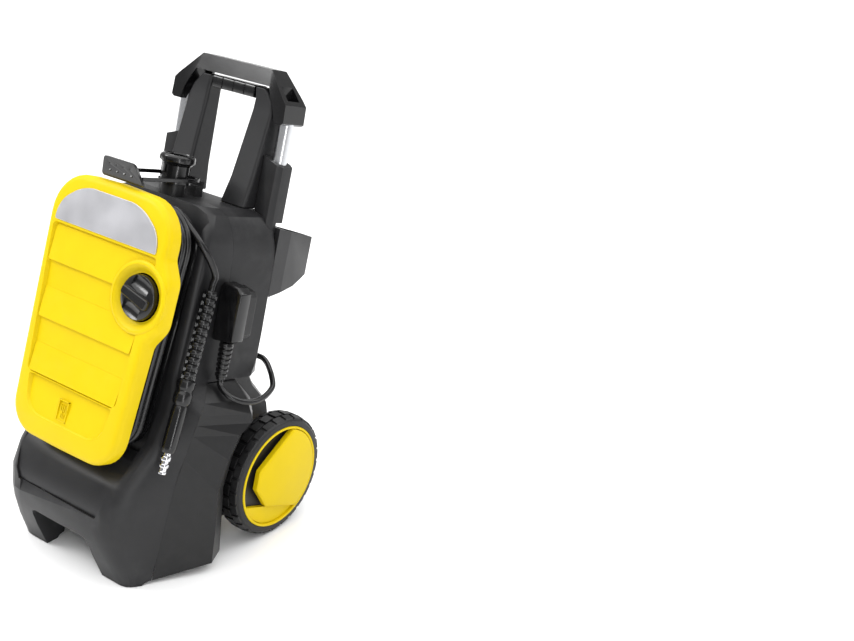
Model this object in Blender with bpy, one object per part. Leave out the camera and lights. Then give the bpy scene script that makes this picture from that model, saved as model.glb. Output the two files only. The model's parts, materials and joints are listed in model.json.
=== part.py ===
# Compact upright pressure washer: hose drum, telescopic handle, two wheels.
# Shapes are laid out in millimetres in a machine frame (X right, Y back,
# Z along the handle tubes, zero on the wheel axle). place() leans that frame
# back onto its four feet and converts to metres, +Z up, floor at zero.
import math

import bmesh
import bpy
from mathutils import Matrix, Vector

# ---- driving dimensions, mm -------------------------------------------------
SIZE = 0.936                   # layout millimetres to real millimetres
LEAN = math.radians(14.35)     # how far the handle tubes lean back when standing
AXLE_Y = -6.9                  # axle behind the layout's zero
TYRE_R = 88.5                  # 82.8 mm real radius: the tyres rest on the floor
RIM_R = 74.4
WHEEL_OUT = 160.3              # outer face of the tyre, 150 mm real
WHEEL_IN = 121.0
FLOOR = TYRE_R                 # floor below the axle, square to the floor
OFF_X = 14.8                   # puts the bounding box centre on the row origin
OFF_Y = 61.2
GAP = 0.3                      # clearance between touching pieces
TUBE_X = 91.0                  # handle tube centres
TUBE_Y = -50.0
TUBE_R = 9.8                   # 18.3 mm real tube
TRAVEL = 240.0                 # handle pull-out
HOSE_R = 4.8                   # 9 mm hose
CORD_R = 4.0                   # 7.5 mm mains cord
COVER_TILT = 0.0895            # cover face slope against the handle tubes
COVER_Y0 = -276.5
KNOB = (78.0, 252.0)           # on the cover face
WALL = 3.0

NODES = []


def place(p):
    """Machine frame in mm to row frame in metres."""
    c = math.cos(LEAN)
    s = math.sin(LEAN)
    back = p[1] - AXLE_Y
    y = (back * c + p[2] * s) * SIZE + OFF_Y
    z = (-back * s + p[2] * c + FLOOR) * SIZE
    return Vector(((p[0] * SIZE + OFF_X) / 1000, y / 1000, z / 1000))


def material(slot, rgb, rough, metal=0.0):
    m = bpy.data.materials.get(slot)
    if m is None:
        m = bpy.data.materials.new(slot)
        m.use_nodes = True
        b = m.node_tree.nodes["Principled BSDF"]
        b.inputs["Base Color"].default_value = (*rgb, 1)
        b.inputs["Roughness"].default_value = rough
        b.inputs["Metallic"].default_value = metal
    return m


LOOK = {
    "housing_grey": ((0.045, 0.045, 0.047), 0.42, 0.0),
    "panel_grey": ((0.05, 0.05, 0.052), 0.45, 0.0),
    "trim_black": ((0.012, 0.012, 0.013), 0.35, 0.0),
    "signal_yellow": ((0.93, 0.73, 0.004), 0.35, 0.0),
    "brushed_silver": ((0.55, 0.55, 0.56), 0.3, 1.0),
    "hose_black": ((0.015, 0.015, 0.016), 0.4, 0.0),
    "tyre_black": ((0.02, 0.02, 0.021), 0.7, 0.0),
    "tube_aluminium": ((0.78, 0.79, 0.8), 0.25, 1.0),
    "chrome": ((0.8, 0.8, 0.8), 0.08, 1.0),
    "steel": ((0.45, 0.45, 0.46), 0.35, 1.0),
    "cap_white": ((0.8, 0.8, 0.78), 0.3, 0.0),
    "pump_cast": ((0.35, 0.35, 0.36), 0.5, 1.0),
}


# ---- solids -----------------------------------------------------------------
def solid(verts, faces):
    """A bmesh-cleaned closed mesh in the machine frame."""
    me = bpy.data.meshes.new("m")
    me.from_pydata([tuple(v) for v in verts], [], faces)
    ob = bpy.data.objects.new("tmp", me)
    bpy.context.scene.collection.objects.link(ob)
    tidy(ob)
    return ob


def tidy(ob):
    bm = bmesh.new()
    bm.from_mesh(ob.data)
    bmesh.ops.remove_doubles(bm, verts=bm.verts, dist=0.002)
    bmesh.ops.dissolve_degenerate(bm, edges=bm.edges, dist=0.002)
    bmesh.ops.recalc_face_normals(bm, faces=bm.faces)
    bm.to_mesh(ob.data)
    bm.free()


def loft(rings):
    """Closed solid through rings of equal point count, flat caps at both ends."""
    n = len(rings[0])
    verts = [p for r in rings for p in r]
    faces = [list(range(n))[::-1], [len(verts) - n + i for i in range(n)]]
    for k in range(len(rings) - 1):
        a = k * n
        for i in range(n):
            j = (i + 1) % n
            faces.append([a + i, a + j, a + n + j, a + n + i])
    return solid(verts, faces)


def ring_solid(rings):
    """Closed band: the last ring joins the first."""
    n = len(rings[0])
    m = len(rings)
    verts = [p for r in rings for p in r]
    faces = []
    for k in range(m):
        a = k * n
        b = ((k + 1) % m) * n
        for i in range(n):
            j = (i + 1) % n
            faces.append([a + i, a + j, b + j, b + i])
    return solid(verts, faces)


def axes_for(d):
    d = Vector(d).normalized()
    t = Vector((0, 0, 1)) if abs(d.z) < 0.9 else Vector((1, 0, 0))
    a = d.cross(t).normalized()
    return d, a, d.cross(a)


def turned(o, d, prof, n=24):
    """Solid of revolution. prof holds (radius, height along d)."""
    o = Vector(o)
    d, a, b = axes_for(d)
    rings = []
    for r, h in prof:
        c = o + d * h
        q = []
        for i in range(n):
            t = 2 * math.pi * i / n
            q.append(c + (a * math.cos(t) + b * math.sin(t)) * max(r, 0.001))
        rings.append(q)
    return loft(rings)


def turned_ring(o, d, prof, n=24):
    """Hollow solid of revolution: prof is a closed loop of (radius, height)."""
    o = Vector(o)
    d, a, b = axes_for(d)
    rings = []
    for r, h in prof:
        q = []
        for i in range(n):
            t = 2 * math.pi * i / n
            q.append(o + d * h + (a * math.cos(t) + b * math.sin(t)) * r)
        rings.append(q)
    return ring_solid(rings)


def pipe(o, d, r0, r1, h0, h1, n=20):
    return turned_ring(o, d, [(r1, h0), (r1, h1), (r0, h1), (r0, h0)], n)


def rod(o, d, r, h0, h1, n=20):
    return turned(o, d, [(r, h0), (r, h1)], n)


def box(x0, x1, y0, y1, z0, z1):
    low = [(x0, y0, z0), (x1, y0, z0), (x1, y1, z0), (x0, y1, z0)]
    high = [(x, y, z1) for x, y, z in low]
    return loft([low, high])


def fillet(pts, radii, seg=4):
    """Round the corners of a 2-D polygon."""
    out = []
    n = len(pts)
    for i in range(n):
        r = radii[i] if isinstance(radii, (list, tuple)) else radii
        p = Vector(pts[i])
        u = (Vector(pts[i - 1]) - p)
        v = (Vector(pts[(i + 1) % n]) - p)
        if r <= 0:
            out.append(tuple(p))
            continue
        ang = u.angle(v)
        cut_len = min(r / math.tan(ang / 2), 0.49 * u.length, 0.49 * v.length)
        r = cut_len * math.tan(ang / 2)
        u.normalize()
        v.normalize()
        c = p + (u + v).normalized() * (r / math.sin(ang / 2))
        a = p + u * cut_len - c
        b = p + v * cut_len - c
        sweep = math.atan2(a.x * b.y - a.y * b.x, a.dot(b))
        for k in range(seg + 1):
            t = sweep * k / seg
            q = Vector((a.x * math.cos(t) - a.y * math.sin(t), a.x * math.sin(t) + a.y * math.cos(t)))
            out.append(tuple(c + q))
    return out


def prism(pts, f, h0, h1):
    """Extrude a 2-D outline; f maps (u, v, h) to the machine frame."""
    return loft([[f(u, v, h) for u, v in pts] for h in (h0, h1)])


def flat_x(u, v, h):
    return (h, u, v)


def flat_y(u, v, h):
    return (u, h, v)


def flat_z(u, v, h):
    return (u, v, h)


def on_cover(u, v, d):
    """Cover face frame: u right, v up the face, d behind the face."""
    k = math.hypot(1, COVER_TILT)
    return (u, COVER_Y0 + v * COVER_TILT / k + d / k, v / k - d * COVER_TILT / k)


def blend(ob, tool, op):
    mod = ob.modifiers.new("b", "BOOLEAN")
    mod.object = tool
    mod.operation = op
    mod.solver = "EXACT"
    bpy.context.view_layer.update()
    deps = bpy.context.evaluated_depsgraph_get()
    me = bpy.data.meshes.new_from_object(ob.evaluated_get(deps))
    ob.modifiers.clear()
    ob.data = me
    bpy.data.objects.remove(tool)
    tidy(ob)
    return ob


def cut(ob, *tools):
    for t in tools:
        blend(ob, t, "DIFFERENCE")
    return ob


def join(ob, *tools):
    for t in tools:
        blend(ob, t, "UNION")
    return ob


def meet(ob, tool):
    return blend(ob, tool, "INTERSECT")


def soften(ob, width, seg=2, angle=40):
    mod = ob.modifiers.new("s", "BEVEL")
    mod.width = width
    mod.segments = seg
    mod.limit_method = "ANGLE"
    mod.angle_limit = math.radians(angle)
    mod.use_clamp_overlap = True
    bpy.context.view_layer.update()
    deps = bpy.context.evaluated_depsgraph_get()
    me = bpy.data.meshes.new_from_object(ob.evaluated_get(deps))
    ob.modifiers.clear()
    ob.data = me
    tidy(ob)
    return ob


def node(name, slot, ob, pivot=None):
    """Name a finished solid, lean it into the row frame and set its origin."""
    at = place(pivot) if pivot is not None else Vector((0, 0, 0))
    for v in ob.data.vertices:
        v.co = place(v.co) - at
    ob.name = name
    ob.data.name = name
    ob.location = at
    rgb, rough, metal = LOOK[slot]
    ob.data.materials.clear()
    ob.data.materials.append(material(slot, rgb, rough, metal))
    NODES.append(ob)
    return ob


def mirrored(ob):
    me = ob.data.copy()
    other = bpy.data.objects.new("tmp", me)
    bpy.context.scene.collection.objects.link(other)
    for v in me.vertices:
        v.co.x = -v.co.x
    me.flip_normals()
    return other


def pair(name, slot, ob, pivot=None):
    """A right-hand solid and its mirror image."""
    other = mirrored(ob)
    node(name + "_right", slot, ob, pivot)
    back = None if pivot is None else (-pivot[0], pivot[1], pivot[2])
    node(name + "_left", slot, other, back)


def cord(name, slot, pts, r, step):
    """A cord as a round poly curve through a smooth line."""
    line = smooth(pts, step)
    cu = bpy.data.curves.new(name, "CURVE")
    cu.dimensions = "3D"
    cu.bevel_depth = r * SIZE / 1000
    cu.bevel_resolution = 2
    cu.use_fill_caps = True
    sp = cu.splines.new("POLY")
    sp.points.add(len(line) - 1)
    for q, p in zip(sp.points, line):
        q.co = (*place(p), 1)
    ob = bpy.data.objects.new(name, cu)
    bpy.context.scene.collection.objects.link(ob)
    rgb, rough, metal = LOOK[slot]
    cu.materials.append(material(slot, rgb, rough, metal))
    NODES.append(ob)
    return ob


def smooth(pts, step):
    """Catmull-Rom line through route points, one point every step mm."""
    p = [Vector(q) for q in pts]
    p = [p[0] * 2 - p[1]] + p + [p[-1] * 2 - p[-2]]
    dense = []
    for i in range(1, len(p) - 2):
        for k in range(20):
            t = k / 20
            a, b, c, d = p[i - 1:i + 3]
            q = (b * 2 + (c - a) * t + (a * 2 - b * 5 + c * 4 - d) * t * t
                 + (b * 3 - a - c * 3 + d) * t ** 3) * 0.5
            dense.append(q)
    dense.append(p[-2])
    total = sum((dense[i + 1] - dense[i]).length for i in range(len(dense) - 1))
    n = max(2, round(total / step))
    out = [dense[0]]
    want = total / n
    run = 0.0
    for i in range(len(dense) - 1):
        seg = (dense[i + 1] - dense[i]).length
        while run + seg >= want * len(out) and len(out) < n:
            t = (want * len(out) - run) / seg
            out.append(dense[i].lerp(dense[i + 1], t))
        run += seg
    out.append(dense[-1])
    return out


# ---- housing ----------------------------------------------------------------
# z, front corner half width, front y, corner radius, half width at seam, seam y
FRONT = [
    (364, 66, -160, 22, 78, -136), (357, 84, -168, 22, 93, -134),
    (340, 97, -174, 15, 101, -130), (320, 102, -177, 10, 104.5, -126),
    (300, 103, -178, 10, 105.5, -124), (200, 104, -187, 10, 109, -124),
    (158, 105, -191, 10, 110.5, -126), (140, 105, -193, 10, 119, -146), (123, 105, -195, 10, 141.5, -170.5),
    (100, 105, -198, 10, 139, -172.5), (60, 105, -208, 15, 134, -177),
    (30, 105, -232, 35, 130, -180), (0, 105, -256, 45, 127, -182.5),
    (-30, 105, -264, 45, 125, -183.5), (-60, 105, -260, 45, 123, -184),
    (-80, 104, -252, 40, 122, -184), (-110, 103, -234, 30, 119.5, -184),
    (-136, 101, -216, 25, 118, -184), (-142, 100.5, -212, 25, 117.8, -184),
    (-200, 99, -200, 20, 116, -184),
]


# z, depth of the recess: the step at 38 to 33 clears the foot of the hose drum
APRON = [(400, 6), (300, 6), (200, 6), (60, 6), (38, 22.6), (33, 4), (0, 4), (-30, 4), (-44, 4)]


def lerp_row(rows, z):
    for a, b in zip(rows, rows[1:]):
        if a[0] >= z >= b[0]:
            t = (a[0] - z) / (a[0] - b[0])
            return [x + (y - x) * t for x, y in zip(a, b)]
    return list(rows[-1] if z < rows[-1][0] else rows[0])


def front_ring(row, inset, back):
    z, w, yf, r, ws, ys = row
    half = [(0, yf + inset), (w - inset, yf + inset), (ws - inset, ys)]
    half.append((ws - inset, ys + back))
    full = [(-x, y) for x, y in half[1:]][::-1] + half[1:]
    rad = [0] * len(full)
    rad[full.index(half[1])] = max(r - inset, 2)
    rad[full.index((-half[1][0], half[1][1]))] = max(r - inset, 2)
    return [(x, y, z) for x, y in fillet(full, rad, 4)]


def front_block(inset=0.0, back=0.05, top=0.0, low=0.0):
    rings = []
    for row in FRONT:
        row = list(row)
        if row[0] > 350:
            row[0] -= top
        rings.append(front_ring(row, inset, back))
    return loft(rings)


def floor_cut(h, x0=-400, x1=400, y0=-600, y1=600):
    """Everything lower than h mm above the floor."""
    s = math.sin(LEAN)
    c = math.cos(LEAN)

    def lift(y, up):
        return (y, (up / SIZE - FLOOR + (y - AXLE_Y) * s) / c)

    pts = [lift(y0, h), lift(y1, h), lift(y1, h - 300), lift(y0, h - 300)]
    return prism(pts, flat_x, x0, x1)


def relief_cut():
    """The housing rises behind the front feet."""
    pts = [(-700, -143), (-196, -143), (-191, -134.3), (-100, -96.6), (100, -12.8), (100, -500), (-700, -500)]
    return prism(pts, flat_x, -400, 400)


def arch(grow=0.0):
    """Opening between the front feet."""
    w = 55 + grow
    pts = fillet([(-w - 2, -400), (-w, -82 + grow), (w, -82 + grow), (w + 2, -400)], [0, 10, 10, 0], 3)
    return prism(pts, flat_y, -330, -150)


def apron_cut(grow=0.0):
    """Shallow recess behind the hose and under the cover."""
    rings = []
    for z, deep in APRON:
        y = lerp_row(FRONT, z)[2] + deep + grow
        w = (90 if z > 0 else 90 + z * 0.35) + grow
        if 30 < z < 40:
            z -= grow
        rings.append([(-w, -330, z), (w, -330, z), (w, y, z), (-w, y, z)])
    return loft(rings)


def build_front():
    shell = front_block()
    # the hollow stays a wall away from the recess, the arch and the foot pads
    room = front_block(WALL, 12, 3)
    cut(room, apron_cut(WALL), arch(WALL), floor_cut(4))
    cut(shell, room, apron_cut(), arch(), floor_cut(0), relief_cut())
    cut(shell, rod((0, -143.6, 0), (0, 0, 1), 17, 330, 390, 20))
    node("front_shell", "housing_grey", shell)


# z, half width at seam, half width at rear corner, rear corner y, rear y
REAR = [
    (364, 78, 80, -80, -62), (357, 93, 97, -64, -46), (340, 101, 108, -57, -39),
    (320, 104.5, 113, -53, -35), (300, 105.5, 115, -52, -35), (200, 109, 116, -51, -35),
    (158, 110.5, 117, -54, -35), (141, 118, 118, -60, -35), (140.4, 103.5, 103.5, -50, -35),
    (120, 103.5, 103.5, -34, -20), (90, 103.5, 103.5, 4, 16), (60, 103.5, 103.5, 16, 26),
    (0, 103.5, 103.5, 18, 28), (-40, 103.5, 103.5, 2, 12), (-75, 103.5, 103.5, -42, -32),
    (-200, 103.5, 103.5, -108, -98),
]


def rear_ring(row, inset, fwd):
    z, ws, wr, yc, yr = row
    ys = lerp_row(FRONT, z)[5]
    pts = [(-(ws - inset), ys + GAP - fwd), (ws - inset, ys + GAP - fwd), (wr - inset, yc - inset * 0.4)]
    pts += [(wr - 14 - inset * 0.4, yr - inset), (-(wr - 14 - inset * 0.4), yr - inset)]
    pts.append((-(wr - inset), yc - inset * 0.4))
    return [(x, y, z) for x, y in pts]


def rear_block(inset=0.0, fwd=0.0, top=0.0):
    rings = []
    for row in REAR:
        row = list(row)
        if row[0] > 350:
            row[0] -= top
        if inset and abs(row[0] - 140.7) < 0.5:
            row[0] -= 4
        rings.append(rear_ring(row, inset, fwd))
    return loft(rings)


def build_rear():
    shell = rear_block()
    cut(shell, rear_block(WALL, 12, 3), relief_cut())
    for s in (-1, 1):
        cut(shell, rod((s * TUBE_X, TUBE_Y, 0), (0, 0, 1), TUBE_R + 0.6, 325, 400, 20))
    cut(shell, rod((0, AXLE_Y, 0), (1, 0, 0), 6.4, -140, 140, 20))
    cut(shell, rod((0, -143.6, 0), (0, 0, 1), 17, 330, 390, 20))
    cut(shell, rod((60, -57, 172), (0, 1, 0), CORD_R + 2.3, 0, 60, 16))
    cut(shell, rod((0, -113, 200), (-1, 0, 0), 9, 90, 130, 20))
    cut(shell, rod((0, -112, 272), (-1, 0, 0), 6, 90, 130, 16))
    # strap lug and the two cord hooks are moulded on
    lug = box(-12, 12, -114.2, -100, 350, 384.5)
    cut(lug, box(-20, 20, -115, -105, 378, 385))
    join(shell, lug, box(-14, 8, -37, -1, 292.5, 301), box(-14, 8, -7, -1, 292.5, 325))
    join(shell, box(-14, 8, -37, -1, 197, 205.5), box(-14, 8, -7, -1, 173, 205.5))
    node("rear_shell", "housing_grey", shell)


# z, seam (x, y), outer rear (x, y), inner rear (x, y)
WING = [
    (140, (119, -146), (124, -96), (118, -91)), (123, (141.5, -170.5), (152, -98), (145, -86)),
    (105, (139.4, -172), (159, -94), (151, -83)), (92, (138.3, -173.4), (160, -92), (152, -79)),
    (77, (136.2, -175.2), (160, -110), (152, -96)), (45, (131.9, -178.6), (160, -124), (151, -107)),
    (0, (127, -182.5), (160, -133), (150, -112)), (-50, (123.7, -183.9), (160.5, -125), (150, -103)),
    (-103, (120.1, -184), (160.4, -119.6), (150.5, -94.5)), (-200, (116, -184), (160.4, -113), (150.6, -86)),
]


def build_wing():
    rings = []
    for z, a, b, c in WING:
        a = (a[0], a[1] + GAP)
        w = 4.0
        inner = [(c[0] - w, c[1] - w * 0.5), (b[0] - 1.6 * w, b[1] - w), (a[0] - 2, a[1] + 4.5)]
        rings.append([(x, y, z) for x, y in [a, b, c] + inner])
    wing = loft(rings)
    lid = loft([[(x, y, z) for x, y in ((104.1, -145.7), (119, -145.7), (124, -96), (118, -91), (104.1, -91))]
                for z in (137, 140)])
    join(wing, lid)
    cut(wing, relief_cut())
    pair("side_panel", "panel_grey", wing)


def build_pockets():
    """Two open pockets for the lances: their fronts fit the housing's rear corners."""
    out = [(58, -52), (115, -52), (113, -24), (101, 38), (96, 42), (84, 42), (76, 36)]
    inn = [(64, -31), (109, -31), (109.5, -22), (98, 34), (94, 38.5), (86, 38.5), (79.5, 33)]
    body = prism(out, flat_z, 236, 352)
    cut(body, prism(inn, flat_z, 284, 400), rear_block(-GAP, 0, -GAP))
    cut(body, rod((TUBE_X, TUBE_Y, 0), (0, 0, 1), TUBE_R + 0.6, 200, 400, 20))
    top = [(-60, 347.5), (60, 327), (60, 420), (-60, 420)]
    low = [(-60, 249), (8, 262), (26, 270), (60, 288), (60, 150), (-60, 150)]
    cut(body, prism(top, flat_x, 0, 200), prism(low, flat_x, 0, 200))
    pair("lance_holder", "housing_grey", body)


def build_sockets():
    pts = fillet([(77, -68), (102, -68), (107, -60), (107, -40), (99, -36), (77, -36)], 2, 2)
    low = [(x, y, 326) for x, y in pts]
    tall = [(x, y, 470) for x, y in pts]
    body = loft([low, tall])
    cut(body, prism([(60, 443), (110, 426), (110, 520), (60, 520)], flat_y, -120, 20))
    # the foot fits the rounded shoulder of the housing
    cut(body, rear_block(-GAP, 0, -GAP))
    cut(body, prism([(-53, 300), (-30, 300), (-30, 352), (-53, 352)], flat_x, 60, 120))
    cut(body, rod((TUBE_X, TUBE_Y, 0), (0, 0, 1), TUBE_R + 0.25, 300, 480, 24))
    pair("tube_socket", "housing_grey", body)


def arm_ring(x0, x1, y0, y1, z):
    c = 3
    pts = [(x0 + c, y0), (x1 - c, y0), (x1, y0 + c), (x1, y1 - c)]
    pts += [(x1 - c, y1), (x0 + c, y1), (x0, y1 - c), (x0, y0 + c)]
    return [(x, y, z) for x, y in pts]


def build_frame():
    arm = loft([arm_ring(34, 76.7, -90, -41, 364.3), arm_ring(37, 76.7, -81, -41, 400),
                arm_ring(41, 76.7, -66, -38, 492), arm_ring(41, 72, -65, -38, 506), arm_ring(38, 58, -65, -38, 522)])
    pair("frame_arm", "housing_grey", arm)
    bar = fillet([(-64, 506), (-38, 506), (-38, 523), (-64, 523)], 3, 2)
    grip = prism(bar, flat_x, -40.6, 40.6)
    cut(grip, box(37.6, 60, -80, -30, 500, 530), box(-60, -37.6, -80, -30, 500, 530))
    for x in (-20, 0, 20):
        cut(grip, box(x - 0.8, x + 0.8, -70, -62.6, 500, 530))
    node("frame_grip", "trim_black", grip)


# ---- hose drum, cover, knob -------------------------------------------------
def cover_outline(off=0.0, bulge=True):
    """Rounded trapezoid in cover coordinates, moved inward by off."""
    pts = [(-109 + off, 374 - off), (0, 377 - off), (109 - off, 374 - off)]
    rad = [58 - off * 0.5, 0, 58 - off * 0.5]
    if bulge:
        pts += [(107.6 - off, 306), (119 - off, 285), (124.5 - off, 252)]
        pts += [(119 - off, 219), (105.5 - off, 198)]
        rad += [10, 16, 26, 16, 10]
    pts += [(97 - off, 27 + off), (0, 26 + off), (-97 + off, 27 + off)]
    rad += [46 - off * 0.5, 0, 46 - off * 0.5]
    return fillet(pts, rad, 5)


def cover_loft(steps, bulge=True):
    return loft([[on_cover(u, v, d) for u, v in cover_outline(off, bulge)] for off, d in steps])


def build_cover():
    body = cover_loft([(0, 21), (0, 8), (3, 3), (8, 0)])
    cut(body, cover_loft([(3.5, 30), (3.5, 9), (8, 6)]))
    panel = [(-93, 305), (93, 305), (81, 108), (-81, 108)]
    panel = fillet(panel, [6, 6, 10, 10], 2)
    cut(body, prism(panel, on_cover, -5, 2.6))
    for v1, v0 in ((303, 256), (221, 181), (147, 109)):
        w1 = 92 - (305 - v1) * 0.061
        w0 = 92 - (305 - v0) * 0.061
        slat = [(-w1, v1), (w1, v1), (w0, v0), (-w0, v0)]
        join(body, loft([[on_cover(u, v, d) for u, v in slat] for d in (3.5, 1.0)]))
    scoop = fillet([(-81, 106), (81, 106), (72, 50), (-72, 50)], [4, 4, 30, 30], 4)
    inner = fillet([(-76, 104), (76, 104), (66, 56), (-66, 56)], [4, 4, 26, 26], 4)
    cut(body, loft([[on_cover(u, v, -4) for u, v in scoop], [on_cover(u, v, 3) for u, v in inner]]))
    kx, kz = KNOB
    hub = on_cover(kx, kz, 0)
    axis = (0, 1, -COVER_TILT)
    join(body, turned(hub, axis, [(46, 9), (46, 0), (44, -1.5)], 28))
    cut(body, turned(hub, axis, [(42, -4), (40, -1.4), (33, 5.5), (31, 5.5), (31, 30)], 28))
    node("hose_cover", "signal_yellow", body)
    plate = fillet([(-92, 309), (92, 309), (92, 322), (66, 356), (0, 363), (-66, 356), (-92, 322)],
                   [3, 3, 10, 22, 0, 22, 10], 3)
    node("trim_plate", "brushed_silver", prism(plate, on_cover, -1.9, -GAP))
    knob = turned(hub, axis, [(29, 4.5), (29, -6), (27, -7), (0, -7)], 28)
    bar = fillet([(-25, -6), (25, -8), (25, 8), (-25, 6)], 3, 2)
    grip = loft([[on_cover(kx + u * s, kz + v * s, d) for u, v in bar] for s, d in ((1, -6), (0.9, -13))])
    join(knob, grip)
    join(knob, rod(hub, axis, 4.5, 4, 20.5, 12), rod(hub, axis, 10, 12, 17, 16))
    node("switch_knob", "trim_black", knob, hub)
    block = ((-29, -10), (-13, -10), (-13, 10), (-29, 10))
    body = loft([[on_cover(kx + u, kz + v, d) for u, v in block] for d in (6.2, 20.5)])
    node("power_switch", "trim_black", body)


def hose_outline(off):
    pts = [(-104 + off, 368 - off), (104 - off, 368 - off), (92 - off, 44 + off), (-92 + off, 44 + off)]
    return fillet(pts, [54 - off, 54 - off, 46 - off, 46 - off], 5)


def outline_band(o0, o1, d0, d1):
    a = hose_outline(o0)
    b = hose_outline(o1)
    return ring_solid([[on_cover(u, v, d) for u, v in p] for p, d in ((a, d0), (a, d1), (b, d1), (b, d0))])


def build_drum():
    body = loft([[on_cover(u, v, d) for u, v in hose_outline(29.6)] for d in (21.4, 62)])
    cut(body, loft([[on_cover(u, v, d) for u, v in hose_outline(33)] for d in (10, 58)]))
    flange = loft([[on_cover(u, v, d) for u, v in hose_outline(5)] for d in (61.5, 64)])
    join(body, flange)
    node("hose_drum", "trim_black", body)
    band = outline_band(0.6, 29.2, 22.5, 61)
    soften(band, 4, 2, 40)
    node("hose_winding", "hose_black", band)


def build_hose_end():
    top = Vector((116, -166, 266))
    bot = Vector((134, -217.5, 32))
    d = (bot - top).normalized()
    prof = []
    for k in range(9):
        h = k * 12.4
        prof += [(6.8, h), (9, h + 0.6), (9, h + 8), (6.8, h + 8.6)]
    node("hose_sleeve", "hose_black", turned(top, d, prof + [(6.8, 116)], 12))
    prof = [(9.5, 116.3), (12, 118), (12, 128), (10.5, 131), (12, 134), (12, 146), (9, 150)]
    node("hose_collar", "hose_black", turned(top, d, prof, 16))
    node("hose_grip", "trim_black", turned(top, d, [(9.2, 150.3), (10, 156), (10, 208), (8.5, 212)], 18))
    prof = [(5, 212.3), (5, 216), (6.6, 217), (6.6, 222), (4.6, 223), (4.6, 226)]
    prof += [(6.2, 227), (6.2, 231), (4.6, 232), (4.6, 236), (5.4, 237), (5.4, 240)]
    node("hose_tip", "chrome", turned(top, d, prof, 12))
    pts = [(108.9, -184, 322), (109, -181, 306), tuple(top - d * 22), tuple(top - d * 10), tuple(top - d * 0.4)]
    cord("hose_tail", "hose_black", pts, HOSE_R, 9)


# ---- handle -----------------------------------------------------------------
def build_handle():
    half = [(0, 548), (62, 548), (101, 508), (102, 484), (98, 481), (86, 481), (80, 500), (66, 526), (0, 526)]
    pts = half + [(-x, z) for x, z in half[1:-1]][::-1]
    body = prism(pts, flat_y, -71, -28)
    cut(body, prism([(-80, 560), (-62, 560), (-71.2, 515), (-80, 515)], flat_x, -120, 120))
    cut(body, prism([(-37, 560), (-20, 560), (-20, 515), (-27.8, 515)], flat_x, -120, 120))
    # hollow from below, so the fixed grip nests in it
    cut(body, prism([(-66.6, 531), (-35.4, 531), (-32, 500), (-32, 400), (-68, 400), (-68, 500)], flat_x, -76, 76))
    for s in (-1, 1):
        cut(body, box(min(s * 80, s * 96), max(s * 80, s * 96), -62, -38, 503, 560))
    for s in (-1, 1):
        cut(body, rod((s * TUBE_X, TUBE_Y, 0), (0, 0, 1), TUBE_R + GAP, 470, 499, 24))
    node("handle_grip", "trim_black", body, (0, TUBE_Y, 481))
    tube = pipe((TUBE_X, TUBE_Y, 0), (0, 0, 1), TUBE_R - 1.5, TUBE_R, 152, 498.7, 24)
    pair("handle_tube", "tube_aluminium", tube, (TUBE_X, TUBE_Y, 481))


# ---- outlet and strap -------------------------------------------------------
def build_outlet():
    o = (0, -143.6, 0)
    up = (0, 0, 1)
    node("outlet_base", "tube_aluminium", pipe(o, up, 12.3, 16.5, 345, 379.7, 24))
    prof = [(13, 380), (21.5, 380), (21.5, 384), (18.5, 385), (18.5, 404), (13, 404)]
    node("outlet_body", "trim_black", turned_ring(o, up, prof, 28))
    prof = [(12, 404.3), (20, 404.3), (23, 408), (23, 415), (21, 417), (12, 417)]
    node("outlet_collar", "trim_black", turned_ring(o, up, prof, 28), (0, -143.6, 404.3))


def build_strap():
    tab = [(-38, 379), (38, 379), (27, 406), (-27, 406)]
    tab = fillet(tab, [3, 3, 6, 6], 2)
    body = prism(tab, lambda u, v, h: (u, -232 - (v - 379) * 0.42 + h, v), -2.2, 2.2)
    for x in (-18, -6, 6, 18):
        cut(body, box(x - 1, x + 1, -260, -241.5, 384, 398))
    node("strap_tab", "trim_black", body, (0, -112, 388))
    path = [(-29, -229.4), (-29, -150), (-22, -116), (22, -116), (29, -150), (29, -229.4)]
    rad = [0, 30, 16, 16, 30, 0]
    line = fillet(path, rad, 4)
    rings = []
    n = len(line)
    for i, p in enumerate(line):
        a = Vector(line[max(i - 1, 0)])
        b = Vector(line[min(i + 1, n - 1)])
        t = (b - a).normalized()
        s = Vector((-t.y, t.x)) * 1.6
        z = 388
        rings.append([(p[0] + s.x, p[1] + s.y, z - 2.4), (p[0] - s.x, p[1] - s.y, z - 2.4),
                      (p[0] - s.x, p[1] - s.y, z + 2.4), (p[0] + s.x, p[1] + s.y, z + 2.4)])
    node("strap_band", "hose_black", loft(rings), (0, -112, 388))


# ---- water side -------------------------------------------------------------
def build_water():
    o = (-108, -113, 200)
    d = (-1, 0, 0)
    node("inlet_boss", "trim_black", turned_ring(o, d, [(6, -6), (8.6, -6), (8.6, 6), (15, 6), (15, 30), (6, 30)], 20))
    prof = [(9, 31), (17, 31), (18.5, 34), (18.5, 46), (16, 50), (9, 50)]
    nut = turned_ring(o, d, prof, 20)
    node("inlet_nut", "trim_black", nut, (-139, -113, 200))
    prof = [(4, 30.3), (8.4, 30.3), (8.4, 52), (11, 53), (11, 58), (7, 59), (7, 66), (8.6, 67)]
    prof += [(7, 74), (8.6, 75), (7, 82), (7.8, 83), (6.8, 87), (4, 87)]
    node("inlet_nipple", "trim_black", turned_ring(o, d, prof, 14))
    o = (-108, -112, 272)
    node("detergent_boss", "trim_black", turned_ring(o, d, [(4.8, -6), (5.7, -6), (5.7, 6), (11.5, 6), (11.5, 24), (4.8, 24)], 16))
    cap = turned(o, d, [(4.4, 12), (4.4, 24.3), (9, 24.3), (9.5, 27), (9.5, 37), (7.5, 39)], 16)
    node("detergent_cap", "cap_white", cap, (-132, -112, 272))


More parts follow.
